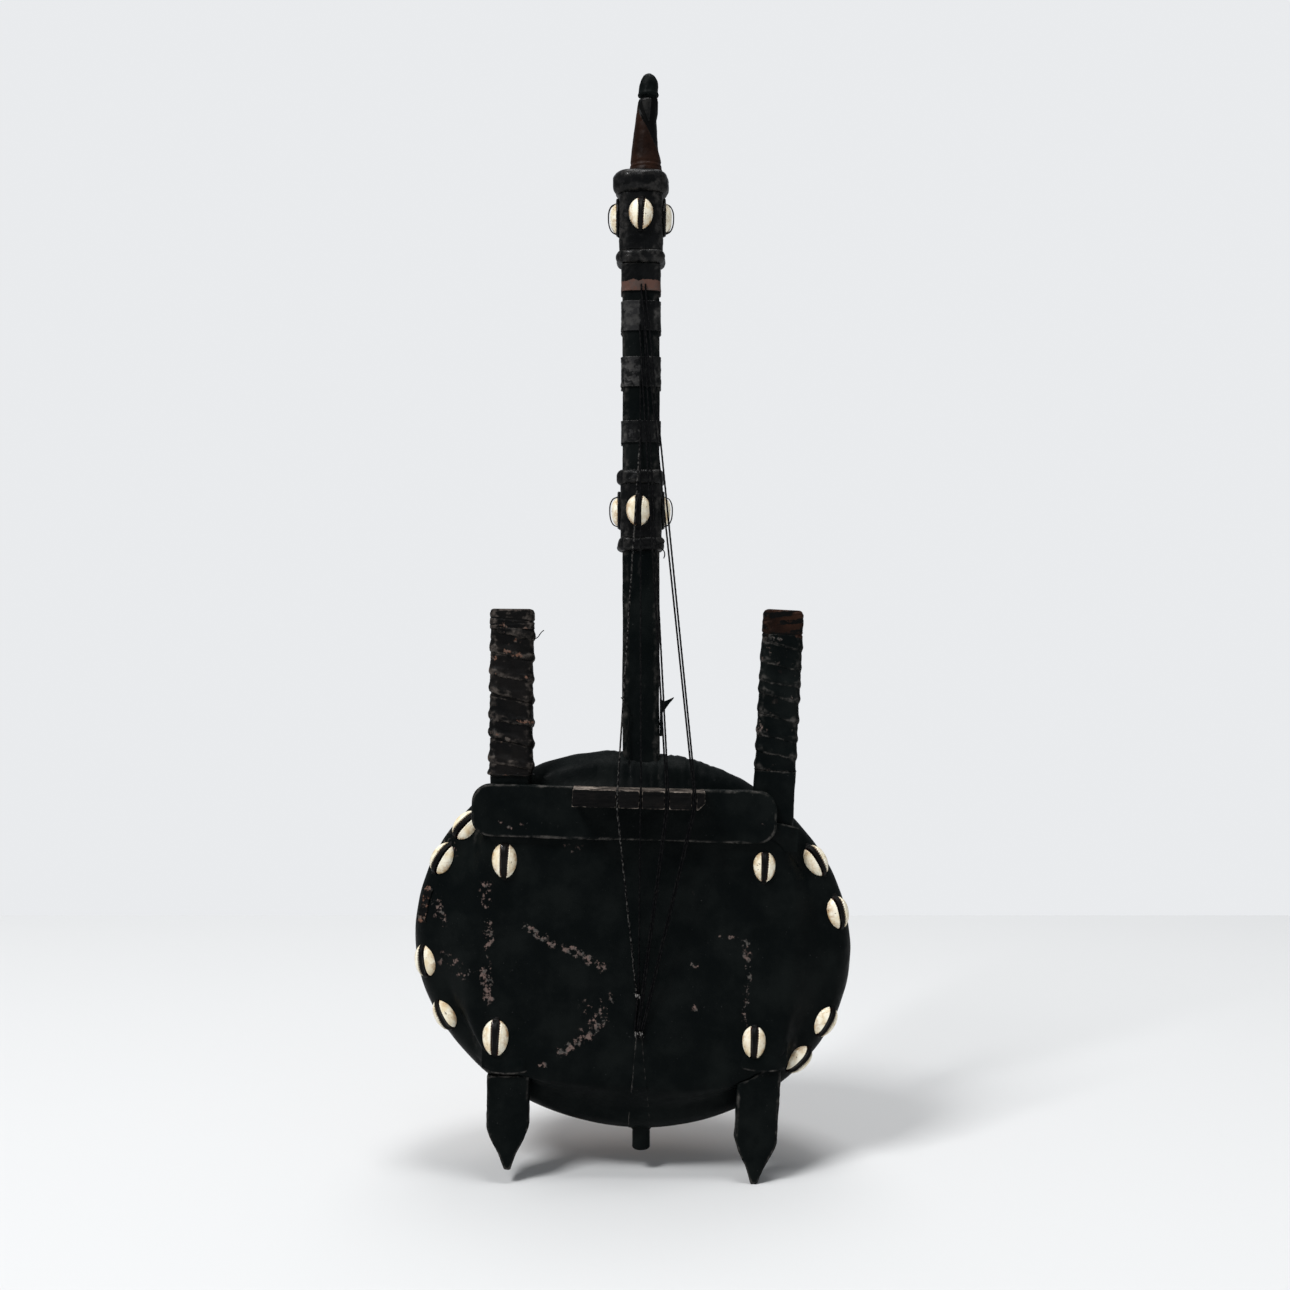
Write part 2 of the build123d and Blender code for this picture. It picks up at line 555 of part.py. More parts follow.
def cowrie(size, hollow):
    """A shell with its slit outwards and the thong in the slit, cut to a flat or hollow seat behind."""
    length, width, height = size
    lift = Pos(0, 0, height * COWRIE_BELLY)
    front = Align.CENTER, Align.CENTER, Align.MIN
    outer = egg(length, width, height, 0)
    groove = egg(length, width, height, -SLIT_DEPTH)
    slit = Box(SLIT_WIDTH, 2 * length, 2 * length)
    shell = lift * (outer - ((outer - groove) & slit))
    thong = egg(length, width, height, THONG_PROUD) - egg(length, width, height, FIT - SLIT_DEPTH)
    thong = lift * (thong & Box(THONG_WIDTH, 2 * length, 2 * length))
    if hollow:
        behind = Pos(0, 0, -hollow) * Rot(90, 0, 0) * Cylinder(hollow, 2 * length)
        edge = hollow - sqrt(hollow ** 2 - (width / 2) ** 2)
        above = Pos(0, 0, -edge) * Box(2 * length, 2 * length, 2 * length, align=front)
        return (shell & above) - behind, (thong & above) - behind
    above = Box(2 * length, 2 * length, 2 * length, align=front)
    return shell & above, thong & above


def seat(origin, normal, up):
    """Location of a shell: its height along the normal, its length along up."""
    return Plane(origin=origin, x_dir=Vector(*up).cross(Vector(*normal)), z_dir=normal).location


def shoulder_seat(bearing):
    """Place on the shoulder at a bearing round the body: point, outward normal and tangent."""
    turn = radians(bearing + BODY_ROLL)
    t = atan2(sin(turn) * BODY_LONG, cos(turn) * BODY_SHORT)
    lean = radians(SIDE_LEAN)
    stretch = BODY_LONG / BODY_SHORT
    radius = SHOULDER + SEAT
    reach = BODY_SHORT - SHOULDER + radius * sin(lean)
    point = Vector(reach * cos(t) * stretch, SHOULDER - radius * cos(lean), reach * sin(t))
    normal = Vector(sin(lean) * cos(t) / stretch, -cos(lean), sin(lean) * sin(t)).normalized()
    along = Vector(-sin(t) * stretch, 0, cos(t)).normalized()
    turned = Location((BODY_X, FACE_Y, BODY_Z)) * Rot(0, BODY_ROLL, 0)
    spin = Rot(0, BODY_ROLL, 0)
    return (turned * Pos(*point)).position, (spin * Pos(*normal)).position, (spin * Pos(*along)).position


def make_cowries():
    """Shells and thongs on the face, on the shoulder and on both cuffs."""
    groups = {name: ([], []) for name in ("face", "left_side", "right_side", "upper_cuff", "mid_cuff")}

    def put(group, made, place, with_shell=True):
        shell, thong = made
        if with_shell:
            groups[group][0].extend((place * shell).solids())
        groups[group][1].extend((place * thong).solids())

    on_face = cowrie(FACE_COWRIE, 0)
    for x, z in FACE_COWRIE_PLACES:
        put("face", on_face, seat((x, FACE_Y - PROUD - SEAT, z), (0, -1, 0), (0, 0, 1)))
    on_side = cowrie(SIDE_COWRIE, SHOULDER * BODY_LONG / BODY_SHORT + SEAT)
    for bearing in LEFT_COWRIE_BEARINGS:
        put("left_side", on_side, seat(*shoulder_seat(bearing)))
    for bearing in RIGHT_COWRIE_BEARINGS:
        put("right_side", on_side, seat(*shoulder_seat(bearing)))
    put("left_side", on_side, seat(*shoulder_seat(EMPTY_SEAT_BEARING)), with_shell=False)
    on_neck = cowrie(NECK_COWRIE, 0)
    for group, cuff, z, front_x in (("upper_cuff", UPPER_CUFF, UPPER_COWRIE_Z, 0.0),
                                    ("mid_cuff", MID_CUFF, MID_COWRIE_Z, MID_FRONT_COWRIE_X)):
        out = cuff[2] + SEAT
        put(group, on_neck, seat((front_x, -NECK_DEPTH / 2 - out, z), (0, -1, 0), (0, 0, 1)))
        for way in (-1, 1):
            put(group, on_neck, seat((way * (NECK_WIDTH / 2 + out), 0, z), (way, 0, 0), (0, 0, 1)))
    for group, (shells, thongs) in groups.items():
        save(f"{group}_cowries", Compound(children=shells))
        save(f"{group}_thongs", Compound(children=thongs))


def make_tab():
    """The small leather thorn sewn to the neck's right side, just over the body."""
    near = NECK_WIDTH / 2 + FIT
    far = near + TAB_THICKNESS
    middle = (TAB_BOTTOM + TAB_TOP) / 2 + TAB_THICKNESS * 2
    outline = Polyline(
        (near, TAB_BOTTOM), (far, TAB_BOTTOM), (far + 0.4, middle), (near + TAB_REACH, TAB_TOP + 0.3),
        (far + 1.0, TAB_TOP - 2.4), (near, TAB_TOP), close=True,
    )
    save("neck_tab", Pos(0, TAB_Y, 0) * extrude(Plane.XZ * make_face(outline), TAB_DEPTH))


lap_blank = hide_blank(SEAT)
make_body(hide_blank())
make_neck()
make_collars()
make_handle("left", LEFT_TOP, LEFT_TIP, LEFT_CAP_BOTTOM, LEFT_WRAP_BOTTOM,
            LEFT_WRAP_THICKNESS, LEFT_TURNS, lap_blank)
make_handle("right", RIGHT_TOP, RIGHT_TIP, RIGHT_CAP_BOTTOM, RIGHT_WRAP_BOTTOM,
            RIGHT_WRAP_THICKNESS, RIGHT_TURNS, lap_blank)
make_bridge()
make_strings()
make_tail(lap_blank)
make_cowries()
make_tab()
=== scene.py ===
"""Looks of a hunter's-harp ngoni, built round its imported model, in millimetres until a mesh is made."""
import math

import bpy
import numpy as np
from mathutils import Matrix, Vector


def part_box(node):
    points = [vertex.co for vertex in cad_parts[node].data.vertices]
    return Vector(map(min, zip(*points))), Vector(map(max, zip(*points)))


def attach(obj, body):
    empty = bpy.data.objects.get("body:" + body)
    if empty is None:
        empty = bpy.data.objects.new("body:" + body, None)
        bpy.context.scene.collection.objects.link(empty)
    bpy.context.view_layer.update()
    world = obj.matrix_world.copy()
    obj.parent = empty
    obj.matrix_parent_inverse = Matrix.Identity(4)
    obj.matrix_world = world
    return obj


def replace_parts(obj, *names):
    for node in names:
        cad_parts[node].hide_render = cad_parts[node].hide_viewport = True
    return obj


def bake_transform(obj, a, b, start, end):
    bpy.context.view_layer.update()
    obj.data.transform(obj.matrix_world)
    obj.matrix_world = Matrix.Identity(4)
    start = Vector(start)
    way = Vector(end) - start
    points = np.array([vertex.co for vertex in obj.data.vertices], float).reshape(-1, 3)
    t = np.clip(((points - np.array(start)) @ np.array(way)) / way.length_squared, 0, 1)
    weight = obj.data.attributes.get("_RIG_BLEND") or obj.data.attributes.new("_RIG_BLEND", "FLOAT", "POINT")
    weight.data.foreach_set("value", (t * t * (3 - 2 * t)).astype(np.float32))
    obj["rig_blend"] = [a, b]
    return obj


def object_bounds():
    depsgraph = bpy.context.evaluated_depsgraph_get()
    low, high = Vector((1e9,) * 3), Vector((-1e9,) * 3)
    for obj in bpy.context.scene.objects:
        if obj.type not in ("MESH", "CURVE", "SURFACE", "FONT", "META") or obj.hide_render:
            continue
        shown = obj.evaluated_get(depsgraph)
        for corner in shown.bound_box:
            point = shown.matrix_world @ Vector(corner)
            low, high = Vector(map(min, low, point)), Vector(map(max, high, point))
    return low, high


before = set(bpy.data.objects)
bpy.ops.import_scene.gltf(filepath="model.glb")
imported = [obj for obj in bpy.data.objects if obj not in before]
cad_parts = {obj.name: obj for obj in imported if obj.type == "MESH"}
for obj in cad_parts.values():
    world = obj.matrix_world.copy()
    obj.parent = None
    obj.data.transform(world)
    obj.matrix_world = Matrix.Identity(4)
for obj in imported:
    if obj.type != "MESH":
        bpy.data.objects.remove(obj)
cad_low, cad_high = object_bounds()

MM = 0.001
MAIN = "instrument"

# Camera: the photograph is 1290 pixels wide, with a focal length of 1500 pixels
PHOTO_SIDE = 1290
FOCAL_PIXELS = 1500
SENSOR = 36.0
CAMERA_PLACE = (2.41, -913.5, 293.7)

# Body
BODY_LONG, BODY_SHORT, BODY_ROLL = 131.5, 113.0, 8.8
BODY_X, BODY_Z = -5.0, 115.2
FACE_Y = -13.5
SHOULDER = 14.0
BODY_BACK = 96.0
HIDE_LAP = 40.0
HIDE = 1.2
PROUD, PROUD_LONG, PROUD_SHORT = 11.35, 95.0, 80.0
PROUD_ROLL, PROUD_DROP, SQUARENESS = 3.0, 3.0, 4
STRETCH = BODY_LONG / BODY_SHORT
RIM = BODY_SHORT - SHOULDER

# Neck
NECK_HALF = (11.2, 10.4, 4.0)
NECK_RIDGE = 0.8
NECK_TOP = 580.5
# Tip: height over the neck's top, lean to the right, bend to the front, radius
HORN = ((0.0, 2.9, 0.0, 10.2), (14.0, 2.7, 0.8, 8.8), (30.0, 3.3, 2.5, 7.0), (46.0, 4.6, 4.4, 6.1))
# Edge of the leather that laps over the cone: heights over the neck's top, and degrees from the front
LAP_HEIGHTS = (0, 6.5, 17.8, 27.2, 37.9, 46)
LAP_ANGLES = (120, 90, 34, -3, -64, -100)
HOOD_DOME = 8.4
TONGUE_TOP, TONGUE_LENGTH = 42.5, 13.5
# Cuffs: thickness, height of their shells, X of the front shell
CUFFS = {"upper_cuff": (2.3, 553.8, 0.0), "mid_cuff": (1.5, 375.6, -1.6)}

# Handle sticks: half width, half depth and corner of the wood, then top and tip of each centre line
STICK_HALF = (11.0, 4.0, 2.5)
STICK_Y = FACE_Y - 6.0
STICKS = {"left": ((-76.6, 315.2), (-79.4, -17.4)), "right": ((85.0, 314.6), (66.8, -25.8))}
CAP_WALL = {"left": 3.0, "right": 1.4}
WRAP_TURNS = 7
# Slits in the hide, as heights on each stick's own axis
SLIT_TOPS = {"left": -131.0, "right": -128.2}
SLIT_BOTTOMS = {"left": -273.2, "right": -271.5}
LIP_HALF = 15.5

# Cowries: length, width, height
FACE_COWRIE = (21.2, 15.2, 5.6)
SIDE_COWRIE = (20.6, 15.0, 5.6)
NECK_COWRIE = (19.0, 14.8, 5.0)
SHELL_GRID = (84, 58)
THONG_GRID = (52, 9)
FACE_PLACES = ((-80.8, 167.2, 1.0), (73.1, 163.4, 0.88), (-86.1, 62.2, 1.04), (66.9, 59.5, 0.94))
# Side shells: bearings round the body in degrees; one has lost its shell
SIDE_BEARINGS = (
    ("left_side", (145.5, 156.8, 185.7, 201.6, 170.5)),
    ("right_side", (24.3, 8.5, -22.0, -34.9)),
)
LOST_BEARING = 170.5
SIDE_LEAN = 42.0
SIDE_TURN = 12.0
SEAT = 0.1


def waves(points, size, seed, octaves=3):
    """Smooth noise, about -1 to 1, at points in mm; size is the width of its widest bumps."""
    rng = np.random.default_rng(seed)
    total = np.zeros(len(points))
    for octave in range(octaves):
        fine = 2 ** octave
        for _ in range(5):
            way = rng.normal(size=3)
            way /= np.linalg.norm(way)
            total += np.sin(points @ way * (2 * math.pi * fine / size) + rng.uniform(0, 2 * math.pi)) / fine
    return total / 4


def soft_step(x, low, high):
    """0 below low, 1 above high, smooth between."""
    t = np.clip((x - low) / (high - low), 0, 1)
    return t * t * (3 - 2 * t)


def hump(x, centre, half):
    """1 at the centre, 0 from half a width away."""
    return 1 - soft_step(np.abs(x - centre), 0, half)


def store(thing, key, values):
    """Keeps a number for each vertex under a name that a material reads."""
    layers = thing.data.attributes
    layer = layers.get(key) or layers.new(key, "FLOAT", "POINT")
    layer.data.foreach_set("value", np.asarray(values, np.float32))


def add_blank_marks(thing, material):
    """Gives a hide the layer of scuffs and painted light that its material reads, still empty."""
    if material in HIDES and "scuff_and_painted_light" not in thing.data.attributes:
        thing.data.attributes.new("scuff_and_painted_light", "FLOAT", "POINT")


def thicken(thing, thickness, offset=-1.0):
    """Makes a sheet as thick as given, in mm."""
    modifier = thing.modifiers.new("thickness", "SOLIDIFY")
    modifier.thickness = thickness * MM
    modifier.offset = offset


def make_object(name, points, faces, material, body=MAIN, attributes=None):
    """A smooth mesh object from points in mm."""
    mesh = bpy.data.meshes.new(name)
    mesh.from_pydata((np.asarray(points) * MM).tolist(), [], faces)
    mesh.update()
    mesh.polygons.foreach_set("use_smooth", [True] * len(mesh.polygons))
    mesh.materials.append(material)
    thing = bpy.data.objects.new(name, mesh)
    for key, values in (attributes or {}).items():
        store(thing, key, values)
    add_blank_marks(thing, material)
    bpy.context.scene.collection.objects.link(thing)
    if body:
        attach(thing, body)
    return thing


def grid_faces(rows, columns, wrap_rows=False, wrap_columns=True):
    """Quads of a grid of points stored row by row."""
    faces = []
    for i in range(rows if wrap_rows else rows - 1):
        for j in range(columns if wrap_columns else columns - 1):
            k = (j + 1) % columns
            n = (i + 1) % rows
            faces.append((i * columns + j, i * columns + k, n * columns + k, n * columns + j))
    return faces


def capped_faces(rows, columns):
    """Quads of a tube's grid, with one face over each end."""
    faces = grid_faces(rows, columns)
    faces.append(tuple(range(columns))[::-1])
    faces.append(tuple((rows - 1) * columns + j for j in range(columns)))
    return faces


def vertex_arrays(mesh):
    """Places and normals of a mesh in mm, as arrays."""
    count = len(mesh.vertices)
    places = np.zeros(count * 3)
    normals = np.zeros(count * 3)
    mesh.vertices.foreach_get("co", places)
    mesh.vertex_normals.foreach_get("vector", normals)
    return places.reshape(-1, 3) / MM, normals.reshape(-1, 3)


def neighbour_mean(mesh, values):
    """Mean of a value over each vertex's neighbours."""
    edges = np.zeros(len(mesh.edges) * 2, int)
    mesh.edges.foreach_get("vertices", edges)
    a, b = edges.reshape(-1, 2).T
    total = np.zeros_like(values)
    count = np.zeros(len(values))
    np.add.at(total, a, values[b])
    np.add.at(total, b, values[a])
    np.add.at(count, a, 1)
    np.add.at(count, b, 1)
    count[count == 0] = 1
    return total / (count[:, None] if values.ndim > 1 else count)


def add_wear(thing, sharp=0.12):
    """Stores how far each vertex stands out from its neighbours, which is where edges rub bare."""
    mesh = thing.data
    places, normals = vertex_arrays(mesh)
    near = neighbour_mean(mesh, places)
    out = np.clip(((places - near) * normals).sum(1) / sharp, -1, 1)
    for _ in range(3):
        out = (out + neighbour_mean(mesh, out)) / 2
    store(thing, "wear", np.clip(out * 2, 0, 1))
    return thing


def displaced(thing, bumps):
    """Moves each vertex along its normal by the sum of (size, height, seed) bumps in mm."""
    places, normals = vertex_arrays(thing.data)
    shift = sum(height * waves(places, size, seed) for size, height, seed in bumps)
    places += normals * shift[:, None]
    thing.data.vertices.foreach_set("co", (places * MM).ravel())
    thing.data.update()
    return thing


def worn_copy(node, material, voxel, bumps, rounding):
    """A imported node's form as a hand-worked surface: softened edges and small unevenness."""
    thing = bpy.data.objects.new(f"{node}_surface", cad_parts[node].data.copy())
    bpy.context.scene.collection.objects.link(thing)
    remesh = thing.modifiers.new("remesh", "REMESH")
    remesh.mode = "VOXEL"
    remesh.voxel_size = voxel * MM
    smooth = thing.modifiers.new("smooth", "SMOOTH")
    smooth.iterations = rounding
    graph = bpy.context.evaluated_depsgraph_get()
    thing.data = bpy.data.meshes.new_from_object(thing.evaluated_get(graph))
    thing.modifiers.clear()
    thing.data.materials.clear()
    thing.data.materials.append(material)
    add_blank_marks(thing, material)
    displaced(thing, bumps)
    thing.data.polygons.foreach_set("use_smooth", [True] * len(thing.data.polygons))
    add_wear(thing)
    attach(thing, MAIN)
    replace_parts(thing, node)
    return thing


def rounded_section(half_x, half_y, corner, ridge=0.0, per_corner=8, per_side=12):
    """Outline points and outward normals, anticlockwise from the front's left corner."""
    points, normals = [], []
    inner = ((half_x - corner, corner - half_y), (half_x - corner, half_y - corner),
             (corner - half_x, half_y - corner), (corner - half_x, corner - half_y))
    for side in range(4):
        a = math.radians(90 * side - 90)
        normal = np.array((math.cos(a), math.sin(a)))
        start = np.array(inner[side - 1]) + normal * corner
        end = np.array(inner[side]) + normal * corner
        for i in range(per_side):
            points.append(start + (end - start) * i / per_side)
            normals.append(normal)
        for i in range(per_corner):
            turn = a + math.pi / 2 * i / per_corner
            normal_here = np.array((math.cos(turn), math.sin(turn)))
            points.append(np.array(inner[side]) + normal_here * corner)
            normals.append(normal_here)
    points, normals = np.array(points), np.array(normals)
    front = np.clip(-normals[:, 1], 0, 1)
    points[:, 1] += ridge * front * np.abs(points[:, 0]) / half_x
    return points, normals


def stick_frame(side):
    """Origin and axes of a handle stick: its own -Z runs down to the foot."""
    (top_x, top_z), (tip_x, tip_z) = STICKS[side]
    lean = math.atan((top_x - tip_x) / (top_z - tip_z))
    across = np.array((math.cos(lean), 0, -math.sin(lean)))
    up = np.array((math.sin(lean), 0, math.cos(lean)))
    return np.array((top_x, STICK_Y, top_z)), np.stack((across, (0, 1, 0), up))


def to_stick(side, points):
    """Takes points from a stick's own frame to the part's."""
    origin, axes = stick_frame(side)
    return origin + points @ axes


def shell(name, section, rows, material, body=MAIN, uneven=None, side=None, attributes=None):
    """A closed band of leather round a section. Rows are (height, distance out), up the outer side."""
    outline, normals = section
    ring_points = []
    for height, out in rows:
        flat = outline + normals * out
        ring_points.append(np.column_stack((flat, np.full(len(flat), height))))
    points = np.concatenate(ring_points)
    if uneven:
        out = np.repeat([row[1] for row in rows], len(outline))
        shift = uneven(points, out)
        points[:, :2] += np.tile(normals, (len(rows), 1)) * shift[:, None]
    if side:
        points = to_stick(side, points)
    extra = {key: make(points) for key, make in (attributes or {}).items()}
    faces = grid_faces(len(rows), len(outline), wrap_rows=True)
    return add_wear(make_object(name, points, faces, material, body, extra))


def band_rows(bottom, top, thick, rounding, steps=4, middle=12, base=0.0):
    """Rows of a band with rounded edges, from its inner bottom edge to its inner top edge."""
    quarter = [math.pi / 2 * i / steps for i in range(steps + 1)]
    flat, run = thick - rounding, top - bottom - 2 * rounding
    rows = [(bottom + rounding * 0.6, base)]
    rows += [(bottom + rounding - rounding * math.cos(a), flat + rounding * math.sin(a)) for a in quarter]
    rows += [(bottom + rounding + run * i / middle, thick) for i in range(1, middle)]
    rows += [(top - rounding + rounding * math.sin(a), flat + rounding * math.cos(a)) for a in quarter]
    return rows + [(top - rounding * 0.6, base)]


# Materials
class Nodes:
    """A few short cuts for building one material."""

    def __init__(self, name):
        self.material = bpy.data.materials.new(name)
        self.material.use_nodes = True
        self.tree = self.material.node_tree
        self.shader = self.tree.nodes["Principled BSDF"]
        coordinates = self.tree.nodes.new("ShaderNodeTexCoord")
        scale = self.tree.nodes.new("ShaderNodeVectorMath")
        scale.operation = "SCALE"
        scale.inputs["Scale"].default_value = 1 / MM
        self.link(coordinates.outputs["Object"], scale.inputs[0])
        self.place = scale.outputs[0]

    def link(self, a, b):
        self.tree.links.new(a, b)

    def put(self, node, socket, value):
        """Links or sets one input."""
        if isinstance(value, bpy.types.NodeSocket):
            self.link(value, node.inputs[socket])
        else:
            node.inputs[socket].default_value = value

    def noise(self, size, detail=4.0, rough=0.55, stretch=None, distortion=0.0):
        """Noise whose bumps are about size mm wide."""
        node = self.tree.nodes.new("ShaderNodeTexNoise")
        node.inputs["Scale"].default_value = 1 / size
        node.inputs["Detail"].default_value = detail
        node.inputs["Roughness"].default_value = rough
        node.inputs["Distortion"].default_value = distortion
        place = self.place
        if stretch:
            times = self.tree.nodes.new("ShaderNodeVectorMath")
            times.operation = "MULTIPLY"
            times.inputs[1].default_value = stretch
            self.link(place, times.inputs[0])
            place = times.outputs[0]
        self.link(place, node.inputs["Vector"])
        return node.outputs[0]

    def cells(self, size):
        """Voronoi distance whose cells are about size mm wide."""
        node = self.tree.nodes.new("ShaderNodeTexVoronoi")
        node.feature = "DISTANCE_TO_EDGE"
        node.inputs["Scale"].default_value = 1 / size
        self.link(self.place, node.inputs["Vector"])
        return node.outputs["Distance"]

    def attribute(self, name):
        node = self.tree.nodes.new("ShaderNodeAttribute")
        node.attribute_name = name
        return node.outputs["Fac"]

    def math(self, operation, a, b=0.0, clamp=False):
        node = self.tree.nodes.new("ShaderNodeMath")
        node.operation = operation
        node.use_clamp = clamp
        self.put(node, 0, a)
        self.put(node, 1, b)
        return node.outputs[0]

    def times(self, a, b, clamp=False):
        return self.math("MULTIPLY", a, b, clamp)

    def plus(self, a, b, clamp=False):
        return self.math("ADD", a, b, clamp)

    def ramp(self, value, low, high, to_low=0.0, to_high=1.0):
        """Smooth change from to_low to to_high as value goes from low to high."""
        node = self.tree.nodes.new("ShaderNodeMapRange")
        node.interpolation_type = "SMOOTHSTEP"
        self.put(node, "Value", value)
        node.inputs["From Min"].default_value = low
        node.inputs["From Max"].default_value = high
        node.inputs["To Min"].default_value = to_low
        node.inputs["To Max"].default_value = to_high
        return node.outputs["Result"]

    def mix(self, factor, a, b):
        node = self.tree.nodes.new("ShaderNodeMix")
        node.data_type = "RGBA"
        self.put(node, "Factor", factor)
        for socket, value in ((node.inputs[6], a), (node.inputs[7], b)):
            if isinstance(value, bpy.types.NodeSocket):
                self.link(value, socket)
            else:
                socket.default_value = (*value, 1.0)
        return node.outputs[2]

    def bump(self, height, strength, distance, under=None):
        node = self.tree.nodes.new("ShaderNodeBump")
        node.inputs["Strength"].default_value = strength
        node.inputs["Distance"].default_value = distance * MM
        self.link(height, node.inputs["Height"])
        if under:
            self.link(under, node.inputs["Normal"])
        return node.outputs[0]

    def finish(self, colour, roughness, normal=None, specular=0.35, coat=0.0):
        self.put(self.shader, "Base Color", colour)
        self.put(self.shader, "Roughness", roughness)
        self.shader.inputs["Specular IOR Level"].default_value = specular
        self.shader.inputs["Coat Weight"].default_value = coat
        if normal:
            self.link(normal, self.shader.inputs["Normal"])
        return self.material


def leather(name, dark, light, worn, roughness=0.5, specular=0.14, scuff_and_painted_light_colour=None, rub_strength=0.8,
            patch_strength=0.3, tint_strength=1.0):
    """Dyed hide: mottled colour, fine grain, broken rubbing along edges, scuffs and specks of dust; on the
    tuning rings the scuff layer carries painted light instead.
    """
    n = Nodes(name)
    fine = n.noise(3.5, 6, 0.65)
    colour = n.mix(n.ramp(n.noise(26, 5, 0.6), 0.38, 0.68), dark, light)
    broken = n.times(n.ramp(n.noise(8, 4, 0.6), 0.36, 0.62), n.ramp(fine, 0.36, 0.6))
    rub = n.times(n.ramp(n.attribute("wear"), 0.25, 0.9), broken)
    colour = n.mix(n.times(rub, rub_strength, clamp=True), colour, worn)
    patches = n.ramp(n.noise(15, 7, 0.7, distortion=0.6), 0.62, 0.76)
    patches = n.times(patches, n.ramp(n.noise(1.8, 4, 0.7), 0.46, 0.62))
    colour = n.mix(n.times(patches, patch_strength), colour, worn)
    # Scuff marks in the scuff colour; on the tuning rings they are painted light on the left front facet
    if scuff_and_painted_light_colour:
        scuff_and_painted_light = n.attribute("scuff_and_painted_light")
        torn = n.times(n.plus(n.noise(3.2, 3, 0.55), -0.5), 3.6)
        flecks = n.times(n.plus(n.noise(1.2, 3, 0.7), -0.5), 1.6)
        marks = n.ramp(n.plus(n.plus(scuff_and_painted_light, torn), flecks), 0.45, 0.95)
        marks = n.times(marks, n.ramp(scuff_and_painted_light, 0.03, 0.28))
        tint_share = n.times(n.ramp(n.noise(6, 4, 0.7), 0.42, 0.6), tint_strength)
        tint = n.mix(tint_share, scuff_and_painted_light_colour, worn)
        colour = n.mix(marks, colour, tint)
    specks = n.ramp(n.noise(1.3, 2, 0.5), 0.74, 0.78)
    colour = n.mix(n.times(specks, 0.22), colour, (0.12, 0.12, 0.12))
    normal = n.bump(n.cells(0.9), 0.3, 0.08)
    normal = n.bump(fine, 0.45, 0.35, normal)
    normal = n.bump(n.noise(10, 3, 0.5), 0.4, 1.0, normal)
    rough = n.ramp(n.noise(6, 5, 0.6), 0.3, 0.7, roughness - 0.1, roughness + 0.12)
    return n.finish(colour, rough, normal, specular)


def gourd_material():
    """Smooth dried calabash, brown with darker blotches and pale scratches."""
    n = Nodes("calabash")
    blotches = n.ramp(n.noise(45, 6, 0.62, distortion=0.8), 0.35, 0.66)
    colour = n.mix(blotches, (0.2, 0.085, 0.028), (0.36, 0.19, 0.075))
    colour = n.mix(n.ramp(n.noise(7, 6, 0.7), 0.56, 0.72), colour, (0.10, 0.042, 0.018))
    colour = n.mix(n.ramp(n.noise(2.4, 3, 0.6, stretch=(1, 1, 7)), 0.66, 0.74), colour, (0.46, 0.30, 0.15))
    normal = n.bump(n.noise(16, 5, 0.6), 0.25, 0.8)
    rough = n.ramp(n.noise(12, 4), 0.3, 0.7, 0.32, 0.5)
    return n.finish(colour, rough, normal, 0.4, coat=0.1)


def bar_material():
    """Blackened wood, tan along its top, partly rubbed wood and partly painted light on the lit top, with the
    grain along X.
    """
    n = Nodes("bar_wood")
    grain = n.noise(1.2, 6, 0.65, stretch=(0.08, 1, 1))
    blotch = n.ramp(n.noise(5, 6, 0.7, stretch=(0.5, 1, 1)), 0.48, 0.7)
    colour = n.mix(n.ramp(grain, 0.35, 0.65), (0.0014, 0.0015, 0.0016), (0.0042, 0.0040, 0.0040))
    colour = n.mix(n.times(blotch, 0.08), colour, (0.045, 0.032, 0.026))
    edges = n.times(n.ramp(n.attribute("wear"), 0.45, 0.95), n.ramp(n.noise(6, 5, 0.7), 0.36, 0.58))
    # bare: tan on the bar's up-facing top and front edge, partly rubbed wood and partly painted light
    rub = n.plus(n.times(edges, 1.1), n.attribute("bare"), clamp=True)
    ragged = n.ramp(n.noise(2.8, 6, 0.72, stretch=(0.35, 1, 1)), 0.38, 0.58)
    streaks = n.ramp(n.noise(8, 5, 0.7, stretch=(0.5, 1, 1)), 0.38, 0.62)
    tan = n.mix(streaks, (0.10, 0.080, 0.068), (0.33, 0.28, 0.24))
    colour = n.mix(n.times(rub, ragged, clamp=True), colour, tan)
    return n.finish(colour, 0.6, n.bump(grain, 0.5, 0.3), 0.05)


def shell_material():
    """Cowrie: glossy cream, stained ochre towards its edge, dark spots, dark red in the slit, and near black
    deep in the slit as painted shade in the shell's opening.
    """
    n = Nodes("cowrie")
    cream = n.mix(n.ramp(n.noise(6, 4, 0.6), 0.38, 0.7), (0.90, 0.85, 0.70), (0.76, 0.64, 0.42))
    stain = n.times(n.attribute("edge"), n.ramp(n.noise(4.0, 5, 0.7), 0.42, 0.64))
    colour = n.mix(stain, cream, (0.42, 0.23, 0.08))
    spots = n.ramp(n.noise(2.2, 3, 0.6), 0.66, 0.70)
    colour = n.mix(n.times(spots, 0.8), colour, (0.10, 0.06, 0.02))
    slit = n.attribute("slit")
    colour = n.mix(n.ramp(slit, 0.15, 0.5), colour, (0.085, 0.016, 0.008))
    # Near black deep in the slit: painted shade in the shell's opening
    colour = n.mix(n.ramp(slit, 0.5, 0.95), colour, (0.005, 0.003, 0.003))
    return n.finish(colour, 0.3, n.bump(n.noise(2.0, 3, 0.5), 0.2, 0.15), 0.4, coat=0.1)


